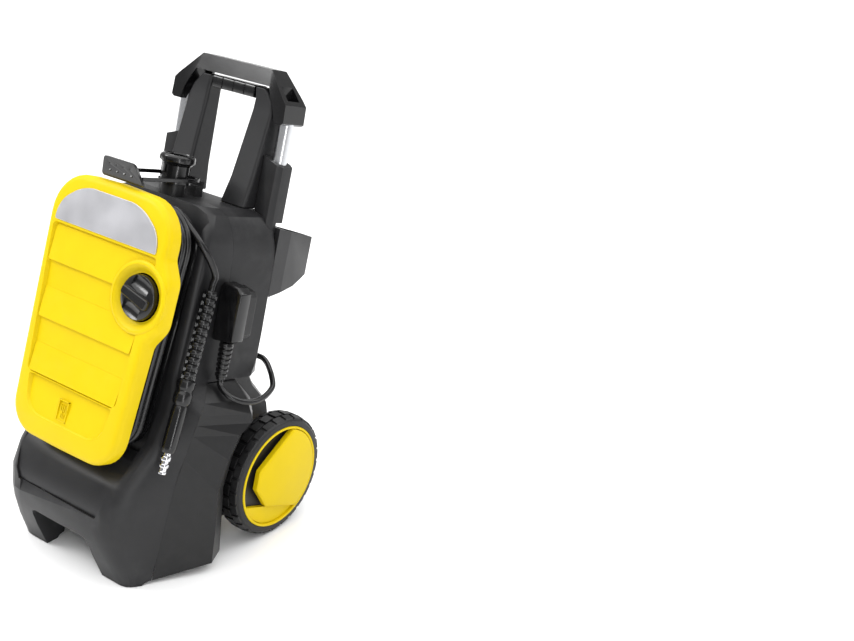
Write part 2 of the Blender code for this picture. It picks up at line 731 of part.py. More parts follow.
# ---- wheels -----------------------------------------------------------------
def build_wheels():
    o = (0, AXLE_Y, 0)
    x = (1, 0, 0)
    out = WHEEL_OUT
    prof = [(RIM_R + GAP, WHEEL_IN + 2), (TYRE_R - 6, WHEEL_IN), (TYRE_R - 0.6, WHEEL_IN + 6), (TYRE_R, out - 20),
            (TYRE_R - 0.6, out - 6), (TYRE_R - 4, out - 1), (RIM_R + GAP, out)]
    tyre = turned_ring(o, x, prof, 30)
    for k in range(8):
        m = Matrix.Rotation(2 * math.pi * (k + 0.5) / 8, 4, "X")
        slot = box(out - 9, out + 4, -5, 5, TYRE_R - 5, TYRE_R + 6)
        for v in slot.data.vertices:
            v.co = m @ v.co + Vector(o)
        cut(tyre, slot)
    pair("tyre", "tyre_black", tyre, o)
    prof = [(RIM_R, WHEEL_IN + 4), (RIM_R, out), (RIM_R - 1, out + 1), (RIM_R - 3.5, out + 1),
            (RIM_R - 3.5, out - 18), (16, out - 24), (10, out - 24), (10, 123), (18, 123),
            (RIM_R - 6, out - 28), (RIM_R - 6, WHEEL_IN + 4)]
    pair("rim", "signal_yellow", turned_ring(o, x, prof, 30), o)
    prof = [(RIM_R - 3.9, out - 17), (RIM_R - 3.9, out - 7), (9.5, out - 7), (9.5, out - 17)]
    pair("hub_inset", "panel_grey", turned_ring(o, x, prof, 30), o)
    r = RIM_R - 4.3
    pts = [(4, 68.5), (-50, 17), (-51, -14), (-44, -22), (-12, -36), (33, -50)]
    for k in range(13):
        t = math.radians(-52 + k * (138 / 12))
        pts.append((r * math.cos(t), r * math.sin(t)))
    steps = ((out - 6.7, 1.0), (out, 1.0), (out + 3, 0.93))
    plate = loft([[(h, u * s + AXLE_Y, v * s) for u, v in pts] for h, s in steps])
    pair("hub_plate", "signal_yellow", plate, o)
    node("axle", "steel", rod(o, x, 5.9, -out + 22, out - 22, 16))


# ---- mains side -------------------------------------------------------------
def build_mains():
    fin = fillet([(113, 205), (137, 205), (141, 211), (141, 262), (136, 268), (113, 272)], 2, 2)
    holder = prism(fin, flat_y, -122.6, -104)
    node("plug_holder", "panel_grey", holder)
    face = fillet([(109.6, 198), (147, 203), (147, 268), (140, 275), (115, 277), (109.6, 271)], 3, 2)
    plug = prism(face, flat_y, -143.5, -123)
    soften(plug, 2, 2, 50)
    node("mains_plug", "trim_black", plug)
    o = (128, -132.5, 200)
    prof = []
    for k in range(5):
        h = 2.5 + k * 9.4
        prof += [(7.0, h), (9.6, h + 0.4), (9.6, h + 5.8), (7.0, h + 6.2)]
    relief = turned(o, (0, 0, -1), [(9, 2.0)] + prof + [(5.6, 52)], 10)
    node("plug_relief", "trim_black", relief)
    pts = [(128, -132.5, 146), (128.2, -132.6, 141.5), (137, -134.5, 136.5), (150, -133, 131), (160, -115, 125),
           (164, -95, 125), (161, -74, 129), (154, -54, 137), (141, -43, 146), (127, -33, 151), (113, -23, 157),
           (98, -10, 164), (78, -5, 170), (63, -7, 172), (60, -14, 172), (60, -22.6, 172)]
    cord("cord_loop", "hose_black", pts, CORD_R, 9)
    node("cord_gland", "trim_black", pipe((60, -35, 172), (0, 1, 0), CORD_R + 0.4, 8, 0.6, 12, 18))
    # twelve strands, four wide and three deep, as a long loop with half-round ends
    hank_out = fillet([(-56, 158), (50, 158), (50, 340), (-56, 340)], 52.9, 8)
    hank_in = fillet([(-23, 191), (17, 191), (17, 307), (-23, 307)], 19.9, 8)

    def back(u, v, h):
        return (u, h, v)

    rings = []
    for o_, h in ((hank_out, -33.5), (hank_out, -8.5), (hank_in, -8.5), (hank_in, -33.5)):
        rings.append([back(u, v, h) for u, v in o_])
    hank = ring_solid(rings)
    node("cord_hank", "hose_black", hank)


# ---- inside -----------------------------------------------------------------
def build_inside():
    o = (0, -112, 0)
    up = (0, 0, 1)
    can = turned_ring(o, up, [(50, -60), (50, 70), (12, 70), (12, 66), (46.5, 66), (46.5, -60)], 22)
    node("motor_can", "steel", can)
    prof = [(8, -75), (8, -68), (40, -68), (40, -64), (8, -64), (8, -45), (32, -45), (32, 50), (8, 50), (8, 84)]
    rotor = turned(o, up, prof, 16)
    node("motor_rotor", "steel", rotor, o)
    low = []
    high = []
    for i in range(16):
        t = 2 * math.pi * i / 16
        x = 27 * math.cos(t)
        y = 27 * math.sin(t)
        low.append((x, -112 + y, 84.3))
        high.append((x, -112 + y, 96 + y * 0.15))
    node("swash_plate", "steel", loft([low, high]), o)
    block = rod(o, up, 34, 118, 158, 20)
    for k in range(3):
        t = math.radians(90 + 120 * k)
        p = (18 * math.cos(t), -112 + 18 * math.sin(t), 0)
        cut(block, rod(p, up, 7.2, 110, 170, 16))
        piston = rod(p, up, 6.8, 101, 150, 16)
        node("piston_" + "abc"[k], "steel", piston, (p[0], p[1], 101))
    node("pump_block", "pump_cast", block)
    head = turned(o, up, [(36, 158.3), (36, 196), (30, 204), (17, 204), (17, 214)], 20)
    node("cylinder_head", "pump_cast", head)
    cord_pts = [(0, -112, 214.5), (0, -113, 240), (0, -136, 276), (0, -143.6, 310), (0, -143.6, 345), (0, -143.6, 380)]
    line = smooth(cord_pts, 12)
    node("pressure_pipe", "steel", swept(line, 6, 8))
    line = smooth([(-101.7, -113, 200), (-80, -113, 200), (-56, -113, 192), (-44, -112, 184)], 12)
    node("inlet_pipe", "steel", swept(line, 6, 8))


def swept(line, r, n):
    rings = []
    for i, p in enumerate(line):
        t = line[min(i + 1, len(line) - 1)] - line[max(i - 1, 0)]
        d, a, b = axes_for(t)
        if abs(d.z) >= 0.9:
            a = Vector((1, 0, 0))
            b = d.cross(a).normalized()
            a = b.cross(d)
        else:
            a = Vector((0, 0, 1)).cross(d).normalized()
            b = d.cross(a)
        q = []
        for k in range(n):
            w = 2 * math.pi * k / n
            q.append(p + a * (r * math.cos(w)) + b * (r * math.sin(w)))
        rings.append(q)
    return loft(rings)


def main():
    for ob in list(bpy.data.objects):
        bpy.data.objects.remove(ob)
    for build in (build_front, build_rear, build_wing, build_pockets, build_sockets, build_frame,
                  build_cover, build_drum, build_hose_end, build_handle, build_outlet, build_strap,
                  build_water, build_wheels, build_mains, build_inside):
        build()


main()
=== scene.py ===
# %% [markdown]
# # An upright pressure washer, dressed for the studio
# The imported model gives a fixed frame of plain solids. This notebook keeps that
# frame and builds what shows around it: smooth mouldings, a wound hose, a mains
# cord, treaded wheels and the finishes. Every piece rides on a body of the frame,
# so the handle, wheels, knob and strap still move.

# %% Load the frame
import json
import math

import bmesh
import bpy
from mathutils import Matrix, Vector

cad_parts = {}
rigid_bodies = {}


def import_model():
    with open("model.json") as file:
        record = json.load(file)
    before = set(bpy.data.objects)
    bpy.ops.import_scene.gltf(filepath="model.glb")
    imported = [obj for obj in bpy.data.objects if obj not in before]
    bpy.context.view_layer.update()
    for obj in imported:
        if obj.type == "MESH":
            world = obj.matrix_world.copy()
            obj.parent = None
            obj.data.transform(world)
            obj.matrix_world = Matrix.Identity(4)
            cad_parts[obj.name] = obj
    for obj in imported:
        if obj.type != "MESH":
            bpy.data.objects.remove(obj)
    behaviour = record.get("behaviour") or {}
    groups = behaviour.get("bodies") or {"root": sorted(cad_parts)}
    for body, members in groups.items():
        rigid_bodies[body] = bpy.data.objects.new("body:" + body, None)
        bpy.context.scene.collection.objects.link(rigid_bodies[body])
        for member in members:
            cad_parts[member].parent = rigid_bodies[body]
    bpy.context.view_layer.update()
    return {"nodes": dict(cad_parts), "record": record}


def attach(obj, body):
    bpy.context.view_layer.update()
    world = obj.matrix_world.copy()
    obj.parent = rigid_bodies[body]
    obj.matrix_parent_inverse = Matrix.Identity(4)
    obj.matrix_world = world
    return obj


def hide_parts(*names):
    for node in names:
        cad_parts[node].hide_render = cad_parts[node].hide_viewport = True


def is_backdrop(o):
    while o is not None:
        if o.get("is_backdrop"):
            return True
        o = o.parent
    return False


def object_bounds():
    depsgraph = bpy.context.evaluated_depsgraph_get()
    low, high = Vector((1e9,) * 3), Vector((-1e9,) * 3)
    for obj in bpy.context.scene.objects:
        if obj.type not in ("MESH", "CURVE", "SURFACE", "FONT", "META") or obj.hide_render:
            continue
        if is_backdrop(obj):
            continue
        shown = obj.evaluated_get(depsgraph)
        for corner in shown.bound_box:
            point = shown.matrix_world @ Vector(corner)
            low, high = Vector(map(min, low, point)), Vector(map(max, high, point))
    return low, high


for ob in list(bpy.data.objects):
    bpy.data.objects.remove(ob)
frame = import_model()

# %% [markdown]
# ## Working in the machine's own directions
# The machine leans back on its feet, so nothing on it is square to the floor. A
# matrix does the leaning once: every shape is drawn in millimetres with X to the
# right, Y to the back and Z along the handle tubes, with the wheel axle at zero
# height.
# A second matrix lays drawings on the sloping hose cover, with its third
# direction pointing out of the face. Drawing straight in floor coordinates
# would need the tilt worked out again for each piece.

# %% The two drawing frames
SIZE = 0.000936                # one drawn millimetre, in metres
LEAN = math.radians(14.35)
AXLE_Y = -6.9
FLOOR = 88.5                   # the axle's height over the floor
TUBE_X, TUBE_Y = 91.0, -50.0
COVER_TILT = 0.0895
COVER_Y = -276.5
KNOB_U, KNOB_V = 78.0, 252.0

AXLE_AT = (0.0148, 0.0612, FLOOR * SIZE)    # the axle's middle, in metres
MACHINE = (Matrix.Translation(AXLE_AT) @ Matrix.Rotation(-LEAN, 4, "X")
           @ Matrix.Scale(SIZE, 4) @ Matrix.Translation((0, -AXLE_Y, 0)))
slant = math.hypot(1, COVER_TILT)
FACE = MACHINE @ Matrix(((1, 0, 0, 0), (0, COVER_TILT / slant, -1 / slant, COVER_Y),
                         (0, 1 / slant, COVER_TILT / slant, 0), (0, 0, 0, 1)))
UP = (MACHINE.to_3x3() @ Vector((0, 0, 1))).normalized()
print("handle tubes point along", [round(c, 3) for c in UP])


def aim(origin, direction):
    """A drawing frame at origin whose Z runs along direction."""
    turn = Vector(direction).to_track_quat("Z", "Y").to_matrix().to_4x4()
    return MACHINE @ Matrix.Translation(origin) @ turn


# %% [markdown]
# ## Camera
# A normal lens from the front right, a little above, with a slight roll. The
# camera is set by its own three directions, because its roll is part of the view.

# %% Camera
LENS = 52.2
CAMERA_AT = Vector((1.0838, -0.9986, 0.9517))
BACK = Vector((0.5051, -0.7585, 0.4118)).normalized()
RIGHT = Vector((0.8129, 0.5785, 0.0682)).normalized()
camera = bpy.data.objects.new("camera", bpy.data.cameras.new("camera"))
bpy.context.scene.collection.objects.link(camera)
camera_up = BACK.cross(RIGHT).normalized()
camera_right = camera_up.cross(BACK)
turn = Matrix((camera_right, camera_up, BACK)).transposed().to_4x4()
camera.matrix_world = Matrix.Translation(CAMERA_AT) @ turn
camera.data.lens = LENS
camera.data.sensor_width = 36
bpy.context.scene.camera = camera
print("camera at", [round(c, 2) for c in CAMERA_AT], "lens", LENS)

# %% [markdown]
# ## Surface effects shared by the finishes
# Moulded plastic is never quite even: it has a spark-eroded grain, it lightens
# on its corners where hands and gravel rub, and it gathers dust on what faces up.
# Each effect is one node group with its own inputs, so that each finish sets only
# how much of it shows. Copying the nodes into every material would work too, but
# then a change has to be made a dozen times.


# %% Node groups: grain, wear and dust
def new_group(name, inputs, outputs):
    tree = bpy.data.node_groups.new(name, "ShaderNodeTree")
    for label, value in inputs:
        s = tree.interface.new_socket(label, in_out="INPUT", socket_type="NodeSocketFloat")
        s.default_value = value
    for label in outputs:
        tree.interface.new_socket(label, in_out="OUTPUT", socket_type="NodeSocketFloat")
    return tree, tree.nodes.new("NodeGroupInput"), tree.nodes.new("NodeGroupOutput")


def noise(tree, vector, scale, detail=3.0):
    n = tree.nodes.new("ShaderNodeTexNoise")
    n.inputs["Detail"].default_value = detail
    tree.links.new(vector, n.inputs["Vector"])
    if isinstance(scale, (int, float)):
        n.inputs["Scale"].default_value = scale
    else:
        tree.links.new(scale, n.inputs["Scale"])
    return n.outputs["Fac"]


def ramp(tree, value, low, high):
    r = tree.nodes.new("ShaderNodeMapRange")
    r.inputs["From Min"].default_value = low
    r.inputs["From Max"].default_value = high
    tree.links.new(value, r.inputs["Value"])
    return r.outputs["Result"]


def sums(tree, kind, a, b):
    m = tree.nodes.new("ShaderNodeMath")
    m.operation = kind
    for socket, v in zip(m.inputs, (a, b)):
        if isinstance(v, (int, float)):
            socket.default_value = v
        else:
            tree.links.new(v, socket)
    return m.outputs[0]


def grain_group():
    tree, given, out = new_group("moulded grain", [("Scale", 1200.0)], ["Height", "Tone"])
    at = tree.nodes.new("ShaderNodeTexCoord").outputs["Object"]
    fine = noise(tree, at, given.outputs["Scale"], 2.0)
    wide = noise(tree, at, 22.0, 4.0)
    tree.links.new(fine, out.inputs["Height"])
    tree.links.new(ramp(tree, wide, 0.3, 0.7), out.inputs["Tone"])
    return tree


def wear_group():
    tree, given, out = new_group("rubbed edges", [("Amount", 0.3)], ["Mask"])
    at = tree.nodes.new("ShaderNodeTexCoord").outputs["Object"]
    edge = ramp(tree, tree.nodes.new("ShaderNodeNewGeometry").outputs["Pointiness"], 0.51, 0.6)
    patch = ramp(tree, noise(tree, at, 60.0, 6.0), 0.42, 0.7)
    both = sums(tree, "MULTIPLY", edge, patch)
    tree.links.new(sums(tree, "MULTIPLY", both, given.outputs["Amount"]), out.inputs["Mask"])
    return tree


def dust_group():
    tree, given, out = new_group("settled dust", [("Amount", 0.1)], ["Mask"])
    at = tree.nodes.new("ShaderNodeTexCoord").outputs["Object"]
    parts = tree.nodes.new("ShaderNodeSeparateXYZ")
    tree.links.new(tree.nodes.new("ShaderNodeNewGeometry").outputs["Normal"], parts.inputs[0])
    upward = ramp(tree, parts.outputs["Z"], 0.35, 1.0)
    patch = ramp(tree, noise(tree, at, 9.0, 5.0), 0.35, 0.75)
    both = sums(tree, "MULTIPLY", upward, patch)
    tree.links.new(sums(tree, "MULTIPLY", both, given.outputs["Amount"]), out.inputs["Mask"])
    return tree


def brushed_group():
    tree, given, out = new_group("brushed lines", [("Across", 2500.0)], ["Height"])
    at = tree.nodes.new("ShaderNodeTexCoord").outputs["Object"]
    stretch = tree.nodes.new("ShaderNodeVectorMath")
    stretch.operation = "MULTIPLY"
    stretch.inputs[1].default_value = (0.02, 1.0, 1.0)
    tree.links.new(at, stretch.inputs[0])
    tree.links.new(noise(tree, stretch.outputs[0], given.outputs["Across"], 2.0), out.inputs["Height"])
    return tree


GRAIN, WEAR, DUST, BRUSHED = grain_group(), wear_group(), dust_group(), brushed_group()
print("node groups:", [g.name for g in (GRAIN, WEAR, DUST, BRUSHED)])

# %% [markdown]
# ## The finishes
# One function lays a finish out: a base colour that drifts a little in tone, a
# worn colour on the corners, dust on top, and grain as a fine bump. The numbers
# that make a rubber differ from a glossy moulding are arguments. What is the
# same all over, such as metallic, is set straight on the shader.


# %% Finishes
def mixed(tree, mask, a, b):
    m = tree.nodes.new("ShaderNodeMix")
    m.data_type = "RGBA"
    colours = [s for s in m.inputs if s.type == "RGBA"]
    for socket, v in zip(colours, (a, b)):
        if isinstance(v, tuple):
            socket.default_value = (*v, 1)
        else:
            tree.links.new(v, socket)
    tree.links.new(mask, m.inputs["Factor"])
    return [s for s in m.outputs if s.type == "RGBA"][0]


def use(tree, group, **values):
    g = tree.nodes.new("ShaderNodeGroup")
    g.node_tree = group
    for label, value in values.items():
        g.inputs[label].default_value = value
    return g


DUST_COLOUR = (0.32, 0.3, 0.27)


def finish(slot, base, rough, metal=0.0, tone=0.12, scale=1200.0, depth=0.00003, wear=0.25,
           worn=(0.1, 0.1, 0.1), dust=0.05, coat=0.0, brushed=0.0, sheen=0.5):
    """A procedural material named after the slot it paints."""
    m = bpy.data.materials.new(slot + "_finish")
    m.use_nodes = True
    tree = m.node_tree
    shader = tree.nodes["Principled BSDF"]
    shader.inputs["Metallic"].default_value = metal
    shader.inputs["Specular IOR Level"].default_value = sheen
    shader.inputs["Coat Weight"].default_value = coat
    shader.inputs["Coat Roughness"].default_value = 0.08
    grain = use(tree, GRAIN, Scale=scale)
    dark = tuple(c * (1 - tone) for c in base)
    light = tuple(min(1.0, c * (1 + tone)) for c in base)
    colour = mixed(tree, grain.outputs["Tone"], dark, light)
    colour = mixed(tree, use(tree, WEAR, Amount=wear).outputs["Mask"], colour, worn)
    dusted = use(tree, DUST, Amount=dust).outputs["Mask"]
    colour = mixed(tree, dusted, colour, DUST_COLOUR)
    tree.links.new(colour, shader.inputs["Base Color"])
    uneven = sums(tree, "MULTIPLY", grain.outputs["Tone"], 0.08)
    uneven = sums(tree, "ADD", uneven, rough - 0.04)
    dulled = sums(tree, "ADD", uneven, sums(tree, "MULTIPLY", dusted, 0.5))
    tree.links.new(dulled, shader.inputs["Roughness"])
    height = grain.outputs["Height"]
    if brushed:
        height = use(tree, BRUSHED, Across=brushed).outputs["Height"]
    bump = tree.nodes.new("ShaderNodeBump")
    bump.inputs["Strength"].default_value = 0.6
    bump.inputs["Distance"].default_value = depth
    tree.links.new(height, bump.inputs["Height"])
    tree.links.new(bump.outputs["Normal"], shader.inputs["Normal"])
    return m


YELLOW = (0.64, 0.470, 0.0005)
BLACK = (0.004, 0.004, 0.0045)
SCUFFED = (0.05, 0.05, 0.05)
FINISH = {
    "housing_grey": finish("housing_grey", (0.013, 0.013, 0.014), 0.42, scale=1500, depth=0.00006,
                           wear=0.12, dust=0.02, sheen=0.3),
    "panel_grey": finish("panel_grey", (0.008, 0.008, 0.0085), 0.36, scale=1500, depth=0.00006,
                         wear=0.12, dust=0.02, sheen=0.3),
    "trim_black": finish("trim_black", BLACK, 0.20, depth=0.00002, wear=0.1, worn=SCUFFED, dust=0.03,
                         coat=0.1, sheen=0.4),
    "signal_yellow": finish("signal_yellow", YELLOW, 0.45, tone=0.03, depth=0.00002, wear=0.1,
                            worn=(0.6, 0.46, 0.04), dust=0.01, sheen=0.16),
    "brushed_silver": finish("brushed_silver", (0.64, 0.64, 0.67), 0.36, metal=0.85, tone=0.08,
                             depth=0.00004, worn=(0.7, 0.7, 0.7), dust=0.02, brushed=2200),
    "hose_black": finish("hose_black", BLACK, 0.24, scale=800, depth=0.00003, wear=0.1, worn=SCUFFED,
                         dust=0.03, sheen=0.45),
    "tyre_black": finish("tyre_black", (0.005, 0.005, 0.0055), 0.42, scale=500, depth=0.0001, wear=0.12,
                         dust=0.03, sheen=0.35),
    "tube_aluminium": finish("tube_aluminium", (0.60, 0.61, 0.63), 0.26, metal=1.0, tone=0.03,
                             depth=0.00002, worn=(0.6, 0.6, 0.6), dust=0.02, brushed=1800),
    "chrome": finish("chrome", (0.66, 0.66, 0.68), 0.10, metal=1.0, tone=0.02, depth=0.00001, dust=0.02),
    "steel": finish("steel", (0.42, 0.42, 0.43), 0.35, metal=1.0, tone=0.08, depth=0.00004),
    "cap_white": finish("cap_white", (0.80, 0.80, 0.77), 0.34, tone=0.03, depth=0.00002,
                        worn=(0.6, 0.6, 0.57)),
    "pump_cast": finish("pump_cast", (0.34, 0.34, 0.35), 0.52, metal=1.0, scale=700, depth=0.0002),
}
SLOT_OF = {row["node"]: row["material_slot"] for row in frame["record"]["subparts"]}
for node, ob in frame["nodes"].items():
    ob.data.materials.clear()
    ob.data.materials.append(FINISH[SLOT_OF[node]])
BODY_OF = {n: b for b, ns in frame["record"]["behaviour"]["bodies"].items() for n in ns}
print(len(FINISH), "finishes on", len(SLOT_OF), "nodes")

# %% [markdown]
# ## Tools for making pieces
# Three ways cover most of the machine. A flat outline with rounded corners,
# raised into a plate, makes covers and panels. A profile spun round an axis
# makes wheels, collars and sleeves. And where a frame solid already has the
# right shape, a merged copy of it with its edges rounded is enough.


# %% Outlines, plates and turned shapes
def outline(corners, segments=8):
    """One flat face. corners holds (x, y, radius)."""
    bm = bmesh.new()
    verts = [bm.verts.new((x, y, 0)) for x, y, r in corners]
    bm.faces.new(verts)
    count = len(corners)
    for i, (x, y, r) in enumerate(corners):
        if r:
            here = Vector((x, y))
            a = Vector(corners[i - 1][:2]) - here
            b = Vector(corners[(i + 1) % count][:2]) - here
            reach = r / math.tan(a.angle(b) / 2)
            bmesh.ops.bevel(bm, geom=[verts[i]], offset=reach, offset_type="OFFSET", affect="VERTICES",
                            segments=segments, profile=0.5, material=-1)
    return bm


def raised(bm, low, high, rim=(), taper=1.0):
    """Pulls a flat face into a solid from low to high. rim steps (inset, rise) round its top."""
    bmesh.ops.translate(bm, verts=bm.verts, vec=(0, 0, low))
    made = bmesh.ops.extrude_face_region(bm, geom=bm.faces[:])
    top = [e for e in made["geom"] if isinstance(e, bmesh.types.BMVert)]
    face = [e for e in made["geom"] if isinstance(e, bmesh.types.BMFace)]
    bmesh.ops.translate(bm, verts=top, vec=(0, 0, high - low))
    if taper != 1.0:
        centre = sum((v.co for v in top), Vector()) / len(top)
        bmesh.ops.scale(bm, verts=top, vec=(taper, taper, 1), space=Matrix.Translation(-centre))
    bmesh.ops.recalc_face_normals(bm, faces=bm.faces)
    for inset, rise in rim:
        bmesh.ops.inset_region(bm, faces=face, thickness=inset, depth=rise, use_even_offset=True)
    return bm


def plate(corners, low, high, rim=(), segments=8, taper=1.0):
    return raised(outline(corners, segments), low, high, rim, taper)


def turned(profile, steps=64, ring=False):
    """Spins (radius, height) points round Z. A ring joins its last point to its first."""
    bm = bmesh.new()
    verts = [bm.verts.new((r, 0, h)) for r, h in profile]
    edges = [bm.edges.new(pair) for pair in zip(verts, verts[1:])]
    if ring:
        edges.append(bm.edges.new((verts[-1], verts[0])))
    bmesh.ops.spin(bm, geom=verts + edges, cent=(0, 0, 0), axis=(0, 0, 1), angle=2 * math.pi,
                   steps=steps, use_merge=True)
    bmesh.ops.remove_doubles(bm, verts=bm.verts, dist=0.001)
    bmesh.ops.recalc_face_normals(bm, faces=bm.faces)
    return bm


def block(x0, x1, y0, y1, z0, z1):
    bm = bmesh.new()
    bmesh.ops.create_cube(bm, size=1)
    bmesh.ops.scale(bm, verts=bm.verts, vec=(x1 - x0, y1 - y0, z1 - z0))
    bmesh.ops.translate(bm, verts=bm.verts, vec=((x0 + x1) / 2, (y0 + y1) / 2, (z0 + z1) / 2))
    return bm


def stand_in(bm):
    mesh = bpy.data.meshes.new("shape")
    bm.to_mesh(mesh)
    bm.free()
    ob = bpy.data.objects.new("shape", mesh)
    bpy.context.scene.collection.objects.link(ob)
    return ob


def carved(bm, tool, kind="DIFFERENCE"):
    """Cuts or joins two closed shapes and gives the result back as a bmesh."""
    a, b = stand_in(bm), stand_in(tool)
    mod = a.modifiers.new("carve", "BOOLEAN")
    mod.operation = kind
    mod.solver = "EXACT"
    mod.object = b
    bpy.context.view_layer.update()
    out = bmesh.new()
    out.from_object(a, bpy.context.evaluated_depsgraph_get())
    bpy.data.objects.remove(a)
    bpy.data.objects.remove(b)
    bmesh.ops.remove_doubles(out, verts=out.verts, dist=0.002)
    return out


def joined(*parts):
    """Several closed shapes in one bmesh."""
    bm = bmesh.new()
    for part in parts:
        mesh = bpy.data.meshes.new("part")
        part.to_mesh(mesh)
        part.free()
        bm.from_mesh(mesh)
        bpy.data.meshes.remove(mesh)
    return bm


# %% Naming, placing and rounding a piece
def piece(name, bm, place, body, slot, stands_for=(), sharp=35):
    """Puts a finished shape in the scene, on its body and in its finish."""
    bmesh.ops.transform(bm, matrix=place, verts=bm.verts)
    mesh = bpy.data.meshes.new(name)
    bm.to_mesh(mesh)
    bm.free()
    ob = bpy.data.objects.new(name, mesh)
    bpy.context.scene.collection.objects.link(ob)
    mesh.materials.append(FINISH[slot])
    mesh.shade_smooth()
    mesh.set_sharp_from_angle(angle=math.radians(sharp))
    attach(ob, body)
    if stands_for:
        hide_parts(*stands_for)
    return ob


def rounded(ob, width, segments=3, angle=32):
    """Rounds a piece's edges by a width in drawn millimetres."""
    mod = ob.modifiers.new("round", "BEVEL")
    mod.width = width * SIZE
    mod.segments = segments
    mod.limit_method = "ANGLE"
    mod.angle_limit = math.radians(angle)
    mod.harden_normals = True
    return ob


def refined(node, width):
    """A merged copy of a frame solid with its edges rounded, standing for it."""
    bm = bmesh.new()
    bm.from_mesh(frame["nodes"][node].data)
    bmesh.ops.remove_doubles(bm, verts=bm.verts, dist=0.00002)
    bmesh.ops.dissolve_limit(bm, angle_limit=math.radians(1.5), verts=bm.verts, edges=bm.edges)
    return rounded(piece(node + "_moulding", bm, Matrix(), BODY_OF[node], SLOT_OF[node], [node]), width)


print("tools ready")

# %% [markdown]
# ## The pressure hose
# The hose is a single length of 9 mm rubber hose: it starts at the core of the
# drum with two turns, fills two layers of four strands over them, and its end
# comes off the top right and runs down into the sleeve. Seven and a half of its
# eight metres are drawn. Drawing separate rings would look much the
# same, but a hose that is one line has its true length, and its end really
# leaves the winding. Each turn follows the drum's rounded shape, set in by its
# layer, and it steps over to the next place along the bottom of the drum.

# %% Line helpers
HOSE_R = 4.8
CORD_R = 4.0


def flowing(points, step):
    """Evenly spaced points on a smooth line through a few route points."""
    p = [Vector(q) for q in points]
    p = [p[0] * 2 - p[1]] + p + [p[-1] * 2 - p[-2]]
    dense = []
    for a, b, c, d in zip(p, p[1:], p[2:], p[3:]):
        for i in range(24):
            t = i / 24
            dense.append((b * 2 + (c - a) * t + (a * 2 - b * 5 + c * 4 - d) * t * t
                          + (b * 3 - a - c * 3 + d) * t ** 3) * 0.5)
    dense.append(p[-2])
    return evened(dense, step)


def evened(line, step):
    total = sum((b - a).length for a, b in zip(line, line[1:]))
    count = max(2, round(total / step))
    out, run, want = [line[0].copy()], 0.0, total / count
    for a, b in zip(line, line[1:]):
        span = (b - a).length
        while span > 0 and run + span >= want * len(out) and len(out) < count:
            out.append(a.lerp(b, (want * len(out) - run) / span))
        run += span
    return out + [line[-1].copy()]


def rounded_loop(left, right, low, high, top_r, low_r, left_low=0.0, right_low=0.0):
    """A closed rounded shape as dense points, clockwise from the middle of its top."""
    corners = [(right, high, top_r), (right_low or right, low, low_r),
               (left_low or left, low, low_r), (left, high, top_r)]
    bm = outline(corners, 12)
    line = [v.co.copy() for v in bm.faces[:][0].verts]
    bm.free()
    middle = Vector(((left + right) / 2, high, 0))
    line.append(line[0].copy())
    line = evened(line, 3.0)[:-1]
    start = min(range(len(line)), key=lambda i: (line[i] - middle).length)
    line = line[start:] + line[:start]
    if line[5].x < line[0].x:
        line = [line[0]] + line[1:][::-1]
    return line


def cord_curve(name, points, radius, slot, body):
    """A round cord through points already in metres."""
    cu = bpy.data.curves.new(name, "CURVE")
    cu.dimensions = "3D"
    cu.bevel_depth = radius * SIZE
    cu.bevel_resolution = 4
    cu.use_fill_caps = True
    sp = cu.splines.new("POLY")
    sp.points.add(len(points) - 1)
    for q, p in zip(sp.points, points):
        q.co = (*p, 1)
    sp.use_smooth = True
    ob = bpy.data.objects.new(name, cu)
    bpy.context.scene.collection.objects.link(ob)
    cu.materials.append(FINISH[slot])
    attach(ob, body)
    return ob


def length_of(points):
    return sum((b - a).length for a, b in zip(points, points[1:]))


# %% Wind the hose
HOSE_PITCH = 9.6
HOSE_TURNS = 9.1
HOSE_LAYERS = (5.2, 14.8, 24.4)    # how far each layer is set in, outermost first
TURN_POINTS = 140
LINE_STEP = 5.5                    # spacing of the points that a cord is drawn with
SLEEVE_TOP = Vector((116, -166, 266))
SLEEVE_AXIS = (Vector((134, -217.5, 32)) - SLEEVE_TOP).normalized()


def hose_loop(inset):
    return rounded_loop(-104 + inset, 104 - inset, 44 + inset, 368 - inset, 54 - inset, 46 - inset,
                        -92 + inset, 92 - inset)


def wound(loop_at, places, turns, step_from, step_to):
    """Winds the loops of loop_at(inset) through (inset, height) places, one place a turn."""
    line = []
    for n in range(math.ceil(turns)):
        a, b = places[n], places[min(n + 1, len(places) - 1)]
        first, second = loop_at(a[0]), loop_at(b[0])
        for i in range(TURN_POINTS):
            share = i / TURN_POINTS
            if n + share > turns:
                break
            blend = min(1.0, max(0.0, (share - step_from) / (step_to - step_from)))
            blend = blend * blend * (3 - 2 * blend)
            p = first[int(share * len(first)) % len(first)]
            q = second[int(share * len(second)) % len(second)]
            at = p.lerp(q, blend)
            line.append(Vector((at.x, at.y, a[1] + (b[1] - a[1]) * blend)))
    return line


